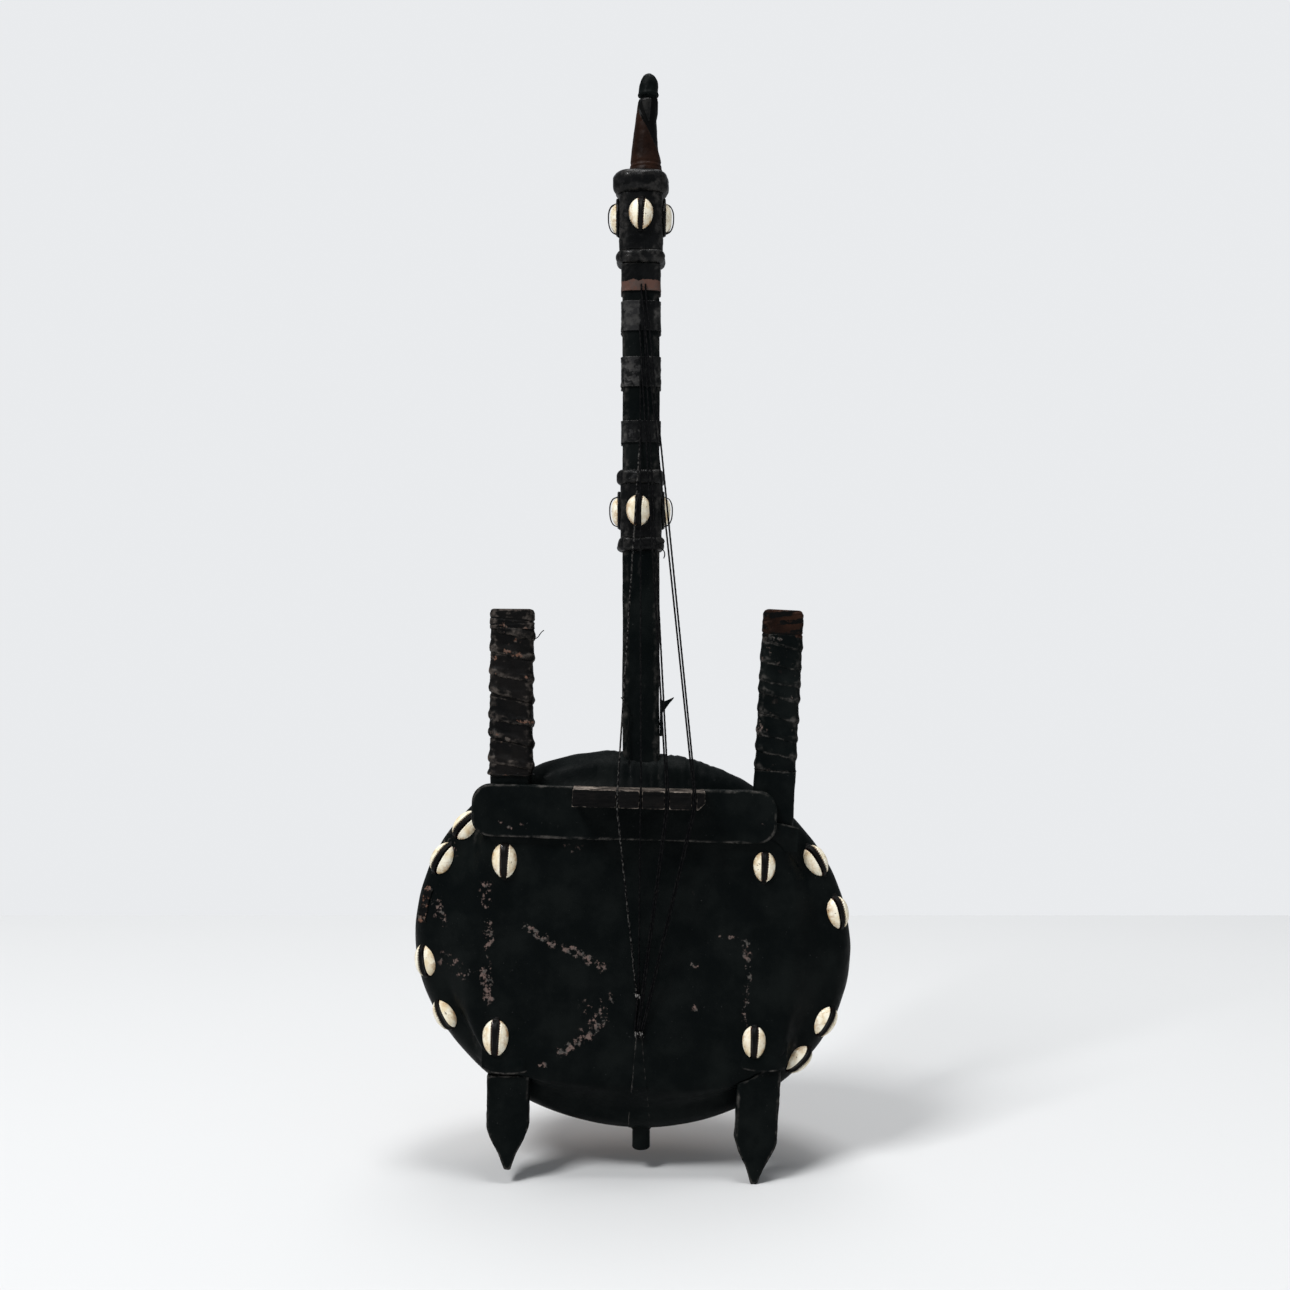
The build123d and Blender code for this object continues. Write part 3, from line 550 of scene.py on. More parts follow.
def thread_material(name, light):
    """Black twisted thread, a little grey where it is rubbed; on the knots the paler grey is a painted
    highlight.
    """
    n = Nodes(name)
    twist = n.noise(0.9, 2, 0.5, stretch=(1, 1, 0.5))
    colour = n.mix(n.ramp(twist, 0.45, 0.7), (0.002, 0.002, 0.0025), light)
    return n.finish(colour, 0.6, n.bump(twist, 0.5, 0.2), 0.03)


def plain_material(name, colour, roughness):
    """Stage surface with a faint tone change."""
    n = Nodes(name)
    tone = n.noise(400, 2, 0.5)
    shade = tuple(c * 0.985 for c in colour)
    return n.finish(n.mix(tone, shade, colour), roughness, None, 0.2)


BLACK = leather("black_hide", (0.0016, 0.0026, 0.0027), (0.0046, 0.0060, 0.0058), (0.070, 0.065, 0.060),
                roughness=0.42, specular=0.030, scuff_and_painted_light_colour=(0.145, 0.100, 0.088), patch_strength=0.06)
BAND = leather("band_hide", (0.0014, 0.0016, 0.0018), (0.0048, 0.0050, 0.0052), (0.050, 0.047, 0.044),
               roughness=0.29, specular=0.105, scuff_and_painted_light_colour=(0.088, 0.047, 0.037), rub_strength=0.5,
               patch_strength=0.03, tint_strength=0.5)
# The rings' pale grey scuff colour is painted light: it lightens each ring's left front facet, which faces
# the key lamp
RING = leather("ring_hide", (0.0018, 0.0021, 0.0024), (0.0055, 0.0058, 0.0060), (0.075, 0.072, 0.068),
               roughness=0.30, specular=0.12, scuff_and_painted_light_colour=(0.0175, 0.0175, 0.018), rub_strength=0.7,
               patch_strength=0.03, tint_strength=0.35)
WRAP = leather("wrap_hide", (0.0026, 0.0027, 0.0028), (0.0070, 0.0062, 0.0058), (0.085, 0.072, 0.063),
               roughness=0.42, specular=0.05, scuff_and_painted_light_colour=(0.14, 0.070, 0.047), patch_strength=0.06)
BROWN = leather("brown_hide", (0.0070, 0.0033, 0.0022), (0.024, 0.0105, 0.0064), (0.060, 0.032, 0.023),
                roughness=0.42, specular=0.05, scuff_and_painted_light_colour=(0.0025, 0.0025, 0.0025), patch_strength=0.20,
                tint_strength=0.0)
SHELL = shell_material()
THREAD = thread_material("thread", (0.008, 0.008, 0.008))
PALE_THREAD = thread_material("pale_thread", (0.075, 0.072, 0.068))
# Pale grey in the knots' thread: painted highlight
KNOT_THREAD = thread_material("knot_thread", (0.22, 0.21, 0.20))
GOURD = gourd_material()
BAR = bar_material()
HIDES = (BLACK, BAND, RING, WRAP, BROWN)


# Body
def body_point(u, v, roll, centre):
    """A point of a rolled oval's plane in the part's X and Z."""
    turn = math.radians(roll)
    return centre[0] + u * np.cos(turn) + v * np.sin(turn), centre[1] - u * np.sin(turn) + v * np.cos(turn)


def stick_offset(side, x, z):
    """Distance of points across a stick from its centre line, and their height along it."""
    (top_x, top_z), (tip_x, tip_z) = STICKS[side]
    lean = math.atan((top_x - tip_x) / (top_z - tip_z))
    dx, dz = x - top_x, z - top_z
    return dx * math.cos(lean) - dz * math.sin(lean), dx * math.sin(lean) + dz * math.cos(lean)


def line_mark(x, z, points, width):
    """1 on a stroke through points, 0 beyond its width."""
    mark = np.zeros(len(x))
    for (ax, az), (bx, bz) in zip(points, points[1:]):
        along = np.array((bx - ax, bz - az))
        t = np.clip(((x - ax) * along[0] + (z - az) * along[1]) / (along @ along), 0, 1)
        far = np.hypot(x - ax - t * along[0], z - az - t * along[1])
        mark = np.maximum(mark, 1 - np.clip(far / width, 0, 1))
    return mark


# Rubbed marks on the face: points along each stroke, width and strength
SCUFFS = (
    (((-90.5, 129), (-90, 117)), 3.2, 1.0),
    (((-91, 117), (-90.5, 98)), 1.8, 0.55),
    (((-92, 101), (-90.5, 84)), 4.0, 1.0),
    (((-91.5, 152), (-92, 141)), 4.5, 0.55),
    (((-68, 127), (-58, 121), (-52, 117)), 3.2, 0.8),
    (((-44, 115), (-30, 107), (-23, 103)), 3.4, 1.0),
    (((-32, 80), (-26, 72)), 6.0, 0.45),
    (((-20, 84), (-24, 74), (-32, 67)), 5.5, 0.5),
    (((-22, 71), (-29, 64), (-36, 59), (-47, 53)), 3.6, 1.0),
    (((-60, 45), (-57, 45)), 2.4, 0.9),
    (((47, 121), (56, 121)), 1.6, 0.8),
    (((62, 117), (62.5, 108)), 3.2, 0.9),
    (((63, 103), (63.5, 95), (62, 82), (62, 70)), 2.4, 0.7),
    (((31, 105), (32, 104)), 2.2, 0.9),
    (((31.5, 80), (32, 78)), 2.2, 0.9),
    (((8, 148), (10, 147)), 1.8, 0.6),
    (((30, 148), (31, 148)), 1.8, 0.6),
    (((-104, 100), (-116, 106)), 7.0, 0.35),
    (((-122, 140), (-119, 128)), 5.0, 0.45),
    (((-116, 176), (-110, 170)), 5.0, 0.35),
    (((-44, 176), (-38, 172)), 6.0, 0.3),
)
# Slits in the hide: stick, height, and the way in which the stick comes out
SLITS = (("left", SLIT_BOTTOMS["left"], -1), ("right", SLIT_BOTTOMS["right"], -1),
         ("right", SLIT_TOPS["right"], 1), ("left", SLIT_TOPS["left"], 1))


def make_face_skin():
    """Hide stretched over the mouth and the sticks, round the shoulder and back over the side."""
    columns, flat_rows, slope_rows, shoulder_rows, side_rows = 400, 62, 16, 14, 12
    turn = np.arange(columns) * 2 * math.pi / columns
    c, s = np.cos(turn), np.sin(turn)
    reach = (np.abs(c) ** SQUARENESS + np.abs(s) ** SQUARENESS) ** (-1 / SQUARENESS)
    middle = (BODY_X, BODY_Z - PROUD_DROP)
    edge_x, edge_z = body_point(PROUD_LONG * c * reach, PROUD_SHORT * s * reach, PROUD_ROLL, middle)
    rim_x, rim_z = body_point(RIM * STRETCH * c, RIM * s, BODY_ROLL, (BODY_X, BODY_Z))
    rows = []

    def row(x, depth, z):
        rows.append(np.column_stack((x, np.full(columns, FACE_Y + depth), z)))

    for i in range(flat_rows):
        share = max(i / flat_rows, 0.004)
        row(middle[0] + (edge_x - middle[0]) * share, -PROUD, middle[1] + (edge_z - middle[1]) * share)
    for i in range(slope_rows):
        share = i / slope_rows
        row(edge_x + (rim_x - edge_x) * share, -PROUD * (1 - share), edge_z + (rim_z - edge_z) * share)
    for i in range(shoulder_rows):
        lean = math.pi / 2 * i / shoulder_rows
        out = RIM + SHOULDER * math.sin(lean)
        x, z = body_point(out * STRETCH * c, out * s, BODY_ROLL, (BODY_X, BODY_Z))
        row(x, SHOULDER * (1 - math.cos(lean)), z)
    for i in range(side_rows + 1):
        depth = SHOULDER + (HIDE_LAP - SHOULDER) * i / side_rows
        out = BODY_SHORT * math.sqrt(1 - ((depth - SHOULDER) / BODY_BACK) ** 2)
        x, z = body_point(out * STRETCH * c, out * s, BODY_ROLL, (BODY_X, BODY_Z))
        row(x, depth, z)
    grid = np.array(rows)
    soften = slice(flat_rows - 5, flat_rows + slope_rows + 5)
    for _ in range(9):
        mean = (grid[:-2] + 2 * grid[1:-1] + grid[2:]) / 4
        inner = slice(soften.start - 1, soften.stop - 1)
        grid[soften] = mean[inner]

    points = grid.reshape(-1, 3)
    faces = grid_faces(len(rows), columns)
    x, z = points[:, 0], points[:, 2]
    depth = points[:, 1] - FACE_Y
    on_front = 1 - soft_step(depth, -1, 8)
    lift = 0.45 * waves(points, 75, 11) + 0.12 * waves(points, 16, 12) * on_front
    for side in STICKS:
        across, along = stick_offset(side, x, z)
        covered = soft_step(along, -290, -262) * (1 - soft_step(along, -140, -118))
        lift += 0.5 * covered * (1 - soft_step(np.abs(across), 10.5, 15))
        lift += 0.12 * covered * (hump(across, 11.3, 2.4) + hump(across, -11.3, 2.4))
    gather = soft_step(z, 203, 214) * hump(x, 14, 52)
    lift += gather * 0.55 * np.sin(x * 1.35 + 1.5 * np.sin(x * 0.31) + 0.25 * waves(points, 20, 14))
    pull = hump(np.hypot(x + 1, (z - 226) * 1.3), 0, 30)
    lift += 1.1 * pull * soft_step(z, 214, 226)
    side_fold = soft_step(depth, 10, 24)
    around = np.arctan2(z - BODY_Z, x - BODY_X)
    lift += side_fold * 0.35 * np.sin(around * 46 + 2 * np.sin(around * 5))

    thing = make_object("face_skin_hide", points, faces, BLACK)
    _, normals = vertex_arrays(thing.data)
    points = points + normals * np.minimum(lift, 2.2)[:, None]
    for side in STICKS:
        top, bottom = SLIT_TOPS[side], SLIT_BOTTOMS[side]
        across, along_stick = stick_offset(side, x, z)
        over = soft_step(along_stick, bottom - 5, bottom - 1) * (1 - soft_step(along_stick, top + 1, top + 5))
        to_slit = np.minimum(np.abs(along_stick - bottom), np.abs(along_stick - top))
        over *= (1 - soft_step(np.abs(across), 11.6, 22)) * (1 - soft_step(depth, -5, 5))
        over *= 1 - soft_step(to_slit, 10, 26)
        taut = STICK_Y - STICK_HALF[1] - 1.6
        points[:, 1] = np.minimum(points[:, 1], points[:, 1] * (1 - over) + taut * over)
    thing.data.vertices.foreach_set("co", (points * MM).ravel())
    marks = np.zeros(len(points))
    for stroke, width, strength in SCUFFS:
        mark = np.minimum(1, 1.7 * line_mark(x, z, stroke, width * 1.1))
        marks = np.maximum(marks, 0.62 * strength * mark)
    marks *= 1 - soft_step(depth, 12, 26)
    store(thing, "scuff_and_painted_light", marks)
    add_wear(thing, sharp=0.35)
    thicken(thing, HIDE)
    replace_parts(thing, "face_skin")


def make_slit_lips():
    """The hide's free edge at each slit, lifted over the stick that comes out from under it."""
    for number, (side, height, way) in enumerate(SLITS, 1):
        rows, columns = 26, 60
        points = []
        for i in range(rows):
            share = i / (rows - 1)
            for j in range(columns):
                q = -LIP_HALF + 2 * LIP_HALF * j / (columns - 1)
                arch = 2.6 * (q / LIP_HALF) ** 2
                edge = height + way * (2.0 - arch)
                start = height - way * 15
                along = start + (edge - start) * share
                up = (1 - float(soft_step(abs(q), 8.5, 15.3))) * float(soft_step(share, 0.0, 0.8))
                points.append((q, FACE_Y - PROUD - STICK_Y + 0.9 - 3.2 * up, along))
        points = np.array(points)
        points[:, 1] -= 0.12 * waves(points, 6, 20 + number)
        points = to_stick(side, points)
        faces = grid_faces(rows, columns, wrap_columns=False)
        lip = make_object(f"{side}_slit_lip_{number}", points, faces, BLACK)
        thicken(lip, 0.8, offset=0)
        store(lip, "wear", np.repeat(np.arange(rows) >= rows - 2, columns))


# Neck
def neck_section():
    return rounded_section(*NECK_HALF, NECK_RIDGE)


def make_neck():
    """The neck's leather, with its stitched seam behind."""
    bottom, top = node_span("neck_cover")
    count = 190
    rows = [(bottom + (top - bottom) * i / count, 0.0) for i in range(count + 1)]
    rows = [(bottom, -0.9)] + rows + [(top, -0.9)]

    def uneven(points, out):
        x, y = points[:, 0], points[:, 1]
        shift = 0.22 * waves(points * (1, 1, 0.45), 26, 31) + 0.07 * waves(points, 5, 32)
        shift -= 0.25 * hump(x, 0.6, 0.9) * (y < 0) * (0.6 + 0.4 * np.sin(points[:, 2] * 0.07))
        seam = (y > 0) * hump(x, 0, 1.6)
        stitches = 0.5 + 0.5 * np.sin(points[:, 2] * 2 * math.pi / 4.2)
        shift += seam * (0.35 + 0.3 * stitches)
        return np.where(out < -0.5, 0, shift)

    cover = shell("neck_leather", neck_section(), rows, BLACK, uneven=uneven)
    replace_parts(cover, "neck_cover")


def horn_ring(height):
    """Lean, bend and radius of the tip at a height over the neck's top."""
    heights = [ring[0] for ring in HORN]
    return [np.interp(height, heights, [ring[k] for ring in HORN]) for k in (1, 2, 3)]


def make_cone():
    """Red-brown cone round the tip, its leather lapped over black."""
    rows, columns = 90, 96
    turn = np.arange(columns) * 2 * math.pi / columns - math.pi
    points, dark = [], []
    top = HORN[-1][0] - 2.0
    for i in range(rows + 1):
        height = top * i / rows
        lean, bend, radius = horn_ring(height)
        edge = math.radians(np.interp(height, LAP_HEIGHTS, LAP_ANGLES))
        gap = (turn - edge) % (2 * math.pi)
        under = (gap < math.radians(150)).astype(float)
        step = soft_step(gap, 0.0, 0.12) * (1 - soft_step(gap, 2.5, 2.62))
        flare = 0.7 * math.exp(-height / 2.2)
        crease = -0.45 * math.exp(-((height - 5.2) / 0.8) ** 2)
        crease -= 0.25 * math.exp(-((height - 2.6) / 0.6) ** 2)
        out = radius - 0.15 + flare * 0.5 + crease - 0.75 * step - 0.4 * soft_step(height, top - 2.2, top)
        points.append(np.column_stack((lean + out * np.sin(turn), -bend - out * np.cos(turn),
                                       np.full(columns, NECK_TOP + height))))
        dark.append(under * 4)
    points = np.concatenate(points)
    flat = points - (3.3, -2.0, 0)
    outward = flat * (1, 1, 0)
    outward /= np.linalg.norm(outward, axis=1)[:, None]
    points += outward * (0.16 * waves(points, 12, 41) + 0.07 * waves(points, 3.5, 42))[:, None]
    marks = {"scuff_and_painted_light": np.concatenate(dark)}
    cone = make_object("tip_cone_leather", points, capped_faces(rows + 1, columns), BROWN, attributes=marks)
    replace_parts(add_wear(cone), "tip_cone_wrap")


def make_hood():
    """The rounded hood on the tip, which flares a little at its foot."""
    low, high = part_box("tip_hood")
    bottom, top = low.z / MM, high.z / MM
    centre = (low.x + high.x) / 2 / MM
    middle = (low.y + high.y) / 2 / MM
    radius = (high.x - low.x) / 2 / MM
    rows, columns = 36, 72
    straight = 12
    turn = np.arange(columns) * 2 * math.pi / columns
    points = []
    for i in range(rows):
        if i < straight:
            height = bottom - 1.2 + (top - HOOD_DOME - bottom + 1.2) * i / straight
            shape = 1.0 + 0.09 * math.exp(-((i - 2.0) / 2.2) ** 2)
        else:
            lift = math.pi / 2 * (i - straight) / (rows - 1 - straight)
            height = top - HOOD_DOME * (1 - math.sin(lift))
            shape = max(math.cos(lift), 0.02)
        out = radius * 0.985 * shape * (0.8 if i == 0 else 1.0)
        lean = centre - 0.5 + 0.5 * (height - bottom) / (top - bottom)
        points.append(np.column_stack((lean + (out - 0.2) * np.cos(turn), middle + out * np.sin(turn),
                                       np.full(columns, height))))
    points = np.concatenate(points)
    outward = points - (centre, middle, (bottom + top) / 2)
    outward /= np.linalg.norm(outward, axis=1)[:, None]
    points += outward * (0.22 * waves(points, 9, 43) + 0.06 * waves(points, 3, 44) - 0.25)[:, None]
    hood = make_object("tip_hood_leather", points, capped_faces(rows, columns), BLACK)
    store(hood, "wear", np.zeros(len(points)))
    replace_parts(hood, "tip_hood")


def make_tongue():
    """The hood's folded tongue, which tapers down the front of the cone."""
    points = []
    rows, columns = 14, 15
    for i in range(rows):
        share = i / (rows - 1)
        height = TONGUE_TOP - TONGUE_LENGTH * share
        lean, bend, radius = horn_ring(height)
        for j in range(columns):
            side = (j / (columns - 1) - 0.5) * 2
            angle = math.radians(-10 + 22 * share) + side * math.radians(27) * (1 - share) ** 0.85
            out = radius + 0.3 - 0.15 * abs(side) - 0.1 * share
            points.append((lean + out * math.sin(angle), -bend - out * math.cos(angle), NECK_TOP + height))
    tongue = make_object("tip_tongue", points, grid_faces(rows, columns, wrap_columns=False), BAND)
    thicken(tongue, 0.5)
    # The wear layer is set evenly over the whole tongue, lightening it in broken patches: painted highlight
    store(tongue, "wear", np.full(len(points), 0.6))


def node_span(node):
    """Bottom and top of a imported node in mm."""
    low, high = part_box(node)
    return low.z / MM, high.z / MM


def make_roll(node, thick, bulge_left, seed):
    """A padded roll of hide: nearly round in section, uneven, and lapped over itself at the left."""
    bottom, top = node_span(node)
    rounding = min((top - bottom) / 2, thick) - 0.15
    rows = band_rows(bottom + 0.1, top - 0.1, thick, rounding, steps=8, middle=8, base=0.15)

    def uneven(points, out):
        x, y, z = points.T
        around = np.arctan2(y, x)
        shift = 0.75 * waves(points, 19, seed) + 0.22 * waves(points, 6, seed + 1)
        lap = hump(around, -2.75, 0.5) * bulge_left
        shift += lap * hump(z, bottom + (top - bottom) * 0.4, (top - bottom) * 0.7)
        shift -= 0.8 * hump(around, -2.42, 0.09) * soft_step(out, thick * 0.5, thick)
        shift -= 0.45 * hump(around, -0.55, 0.08) * soft_step(out, thick * 0.5, thick)
        return np.where(out < 0.3, 0, np.minimum(shift - 0.25, 0.6))

    roll = shell(node + "_leather", neck_section(), rows, BAND, uneven=uneven)
    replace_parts(roll, node)


def make_cuff(node, seed):
    """A leather cuff drawn in between its rolls, swelling a little behind each shell."""
    bottom, top = node_span(node)
    thick, shells_z, _ = CUFFS[node]
    rows = band_rows(bottom - 0.5, top + 0.5, thick, 0.5, middle=44, base=0.15)

    def uneven(points, out):
        x, y, z = points.T
        shift = 0.25 * waves(points, 14, seed) + 0.1 * waves(points, 4, seed + 1)
        waist = 0.35 * np.abs(z - (bottom + top) / 2) / (top - bottom) * 2
        shift -= waist * 0.5
        shift += 0.35 * hump(z, shells_z, 13) * hump(np.abs(x), 12, 5)
        shift -= 0.3 * hump(x, 6.6, 0.8) * (y < 0)
        return np.where(out < 0.3, 0, np.minimum(shift - 0.15, 0.1))

    cuff = shell(node + "_leather", neck_section(), rows, BAND, uneven=uneven)
    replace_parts(cuff, node)


def make_band(node, body, seed, crumple, brown_below=None, pale=0.0):
    """A sliding leather band: its lower edge flares, and one end laps over the other on the front."""
    bottom, top = node_span(node)
    rows = band_rows(bottom, top, 1.0, 0.35, steps=3, middle=34, base=0.25)

    def uneven(points, out):
        x, y, z = points.T
        low_lip = np.exp(-(z - bottom) / 1.5)
        high_lip = np.exp(-(top - z) / 1.3)
        shift = crumple * waves(points, 8, seed) + 0.06 * waves(points, 3, seed + 1)
        shift += 0.30 * low_lip + 0.22 * high_lip - 0.22
        shift -= 0.4 * hump(x, 0.7, 0.7) * (y < 0)
        shift += 0.35 * hump(x, -4, 4.2) * (y < 0) * soft_step(z, bottom, bottom + 2)
        return np.where(out < 0.3, 0, np.minimum(shift, 0.35))

    def scuff_and_painted_light(points):
        if brown_below is None:
            # On the tuning rings: painted light, a paler left front facet, as strong as pale
            left = soft_step(points[:, 0], -11, -10) * (1 - soft_step(points[:, 0], -1.5, 0.2))
            return left * (points[:, 1] < 0) * (pale + 0.35 * waves(points, 6, seed + 5)).clip(0, 2)
        edge = brown_below + 0.8 * waves(points, 9, seed + 3)
        brown = 1 - soft_step(points[:, 2], edge - 0.8, edge + 0.8)
        return brown * (1.9 + 0.5 * waves(points, 7, seed + 4)) * (points[:, 1] < 0)

    material = BAND if brown_below else RING
    band = shell(node + "_leather", neck_section(), rows, material, body, uneven, attributes={"scuff_and_painted_light": scuff_and_painted_light})
    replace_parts(band, node)


# Handles
def make_wrap(side, thick, seed):
    """A strip wound down a stick over a thin sleeve, each turn ending in a soft, torn lip."""
    turns = WRAP_TURNS
    (_, top_z), _ = STICKS[side]
    bottom, top = node_span(f"{side}_handle_wrap")
    top = top - top_z + 0.5
    bottom = bottom - top_z
    under = rounded_section(*STICK_HALF)
    sleeve_rows = band_rows(bottom - 1.5, top, thick * 0.42, 0.4, steps=2, middle=70, base=0.1)
    shell(f"{side}_handle_lining", under, sleeve_rows, WRAP, side=side,
          uneven=lambda points, out: np.where(out < 0.2, 0, 0.22 * waves(points, 8, seed + 9)))
    pitch = (top - bottom) / turns
    outline, normals = rounded_section(STICK_HALF[0] + 0.1, STICK_HALF[1] + 0.1, STICK_HALF[2])
    per_turn = len(outline)
    lengths = np.linalg.norm(np.roll(outline, -1, 0) - outline, axis=1)
    share = np.concatenate(([0], np.cumsum(lengths)[:-1])) / lengths.sum()
    steps = per_turn * (turns + 1) + 1
    across = 20
    rng = np.random.default_rng(seed)
    height_change = rng.uniform(-0.2, 0.2, turns + 3) * pitch
    lip = rng.uniform(0.75, 1.15, turns + 3)
    points = []
    for k in range(steps):
        turn_number, i = divmod(k, per_turn)
        passed = turn_number + share[i]
        middle = top + pitch * 0.22 - pitch * passed + np.interp(passed, np.arange(turns + 3), height_change)
        strong = np.interp(passed, np.arange(turns + 3), lip)
        outer, inner = [], []
        for j in range(across):
            t = j / (across - 1)
            z = np.clip(middle + pitch * (0.55 - 1.12 * t), bottom - 0.8, top)
            swell = 0.50 + 0.10 * t + 0.36 * strong * math.exp(-((t - 0.80) / 0.17) ** 2) - 0.12 * (t > 0.96)
            outer.append((z, thick * min(swell, 1.0)))
            inner.append((z, 0.02))
        for z, out in outer + inner[::-1]:
            flat = outline[i] + normals[i] * out
            points.append((flat[0], flat[1], z))
    points = np.array(points)
    ring = 2 * across
    outward = np.repeat(normals[np.arange(steps) % per_turn], ring, 0)
    outside = np.tile(np.r_[np.ones(across), np.zeros(across)], steps)
    t = np.linspace(0, 1, across)
    edge = np.tile(np.r_[np.exp(-((t - 0.84) / 0.12) ** 2), np.zeros(across)], steps)
    last = np.tile(np.r_[t > 0.97, t[::-1] > 0.97], steps)
    shift = 0.13 * thick * waves(points * (1, 1, 1.6), 12, seed + 1) + 0.10 * waves(points, 4, seed + 2)
    points[:, :2] += outward * np.clip(shift * outside, -0.2 * thick, 0.1 * thick)[:, None]
    points[:, 2] += waves(points * (1, 1, 0.3), 9, seed + 3) * 0.55 * (edge + last).clip(0, 1)
    points[:, 2] = np.clip(points[:, 2], bottom - 1.2, top)
    marks = 0.75 * edge * soft_step(waves(points, 16, seed + 4), 0.1, 0.8)
    marks += 0.7 * soft_step(waves(points, 20, seed + 5), 0.45, 1)
    marks *= 1.0 if side == "left" else 0.35
    points = to_stick(side, points)
    material = WRAP if side == "left" else BLACK
    strip = make_object(f"{side}_handle_strip", points, capped_faces(steps, ring), material,
                        attributes={"scuff_and_painted_light": marks})
    add_wear(strip, sharp=0.16)
    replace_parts(strip, f"{side}_handle_wrap")


def make_cap(side, material):
    """Leather folded over the top end of a stick."""
    wall = CAP_WALL[side]
    (_, top_z), _ = STICKS[side]
    bottom = node_span(f"{side}_handle_cap")[0] - top_z - 0.3
    count = 30
    rows = [(bottom, 0.3)]
    rows += [(bottom + (-0.8 - bottom) * i / count, wall - 0.2) for i in range(count)]
    rows += [(-0.4, wall - 0.35), (-0.1, wall - 0.7), (0.0, wall - 1.3), (0.0, -1.2), (0.0, -2.6)]

    def uneven(points, out):
        x, y, z = points.T
        shift = 0.2 * waves(points * (1, 1, 1.5), 7, 71) + 0.1 * waves(points, 3, 72)
        corner = np.clip((np.abs(x) - STICK_HALF[0] - wall + 3.6) / 3.6, 0, 1)
        points[:, 2] -= 2.4 * corner ** 2 * soft_step(z, -5, 0)
        if side == "left":
            fold = z + 3.4 - 0.30 * np.abs(x + 1.5)
            shift += 0.5 * soft_step(fold, -0.9, 0.5) * (y < 0) - 0.35
            shift -= 0.5 * hump(z, -6.2 - 0.08 * x, 0.9)
            shift -= 0.3 * hump(z, -8.6 + 0.06 * x, 0.8)
        else:
            shift -= 0.35 * hump(z, -4.4 + 0.22 * x, 0.5) * (y < 0)
            shift -= 0.5 * hump(z, bottom + 2.2, 0.7)
        return np.where(out < wall - 1.0, 0, np.minimum(shift - 0.2, 0.1))

    section = rounded_section(*STICK_HALF)
    cap = shell(f"{side}_cap_leather", section, rows, material, uneven=uneven, side=side)
    places, _ = vertex_arrays(cap.data)
    if side == "left":
        streaks = 0.85 * soft_step(waves(places, 9, 73), 0.1, 0.8)
    else:
        streaks = 1.3 * soft_step(waves(places * (0.22, 0.3, 1.3), 5, 73), -0.25, 0.45)
    store(cap, "scuff_and_painted_light", streaks)
    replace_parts(cap, f"{side}_handle_cap")


def make_handles():
    """Wraps, caps, sleeves and feet of both sticks."""
    make_wrap("left", 3.0, 50)
    make_wrap("right", 1.7, 60)
    for side, material in (("left", WRAP), ("right", BROWN)):
        make_cap(side, material)
        worn_copy(f"{side}_handle_sleeve", BLACK, voxel=0.6, bumps=((24, 0.2, 81), (5, 0.07, 82)), rounding=2)
        worn_copy(f"{side}_foot_sheath", BLACK, voxel=0.6, bumps=((22, 0.25, 83), (5, 0.08, 84)), rounding=3)


# Bridge
# Pale flecks on the plate: X, Z and strength
PLATE_FLECKS = (
    (-78.0, 186.6, 0.8), (-74.6, 185.2, 0.7), (-71.5, 188.2, 0.8), (-69.6, 186.0, 0.6), (-76.0, 183.4, 0.5),
    (73.8, 191.0, 0.7), (71.2, 188.4, 0.4), (-58.0, 184.0, 0.4), (-84.0, 190.0, 0.4),
)


def make_bridge():
    """The covered plate and the notched bar."""
    plate = worn_copy("plate_leather", BLACK, voxel=0.8, bumps=((60, 0.35, 91), (9, 0.10, 92)), rounding=2)
    places, _ = vertex_arrays(plate.data)
    light = np.zeros(len(places))
    for x, z, strength in PLATE_FLECKS:
        stroke = ((x, z), (x + 1.6, z - 0.8))
        light = np.maximum(light, strength * line_mark(places[:, 0], places[:, 2], stroke, 1.1))
    store(plate, "scuff_and_painted_light", light)

    bar = worn_copy("bridge_bar", BAR, voxel=0.45, bumps=((18, 0.18, 93), (3, 0.07, 94)), rounding=2)
    places, normals = vertex_arrays(bar.data)
    x = places[:, 0]
    # Tan on up-facing surfaces, stronger at the left: rubbed wood and painted light on the bar's lit top
    bare = soft_step(normals[:, 2], 0.45, 0.9) * (0.45 + 0.75 * (1 - soft_step(x, -30, -22)))
    bare = np.maximum(bare, 0.75 * soft_step(-normals[:, 1], 0.2, 0.6) * soft_step(normals[:, 2], 0.35, 0.7))
    store(bar, "bare", bare)


# Strings
STRING_RADIUS = 0.55
STRING_PITCH = 1.2
NOTCHES = (-13.6, -0.1, 15.1, 30.8)
BAR_X, BAR_Z, BAR_HEIGHT, BAR_REACH, NOTCH_DEPTH = -1.2, 204.6, 10.4, 20.0, 1.3
PLATE_TILT, PLATE_FRONT = 1.62, FACE_Y - PROUD - 0.15 - 5.5
UPPER_KNOT, LOWER_KNOT, UPPER_KNOT_RADIUS, LOWER_KNOT_RADIUS = (-2.1, 86.0), (-1.1, 63.5), 1.7, 2.2
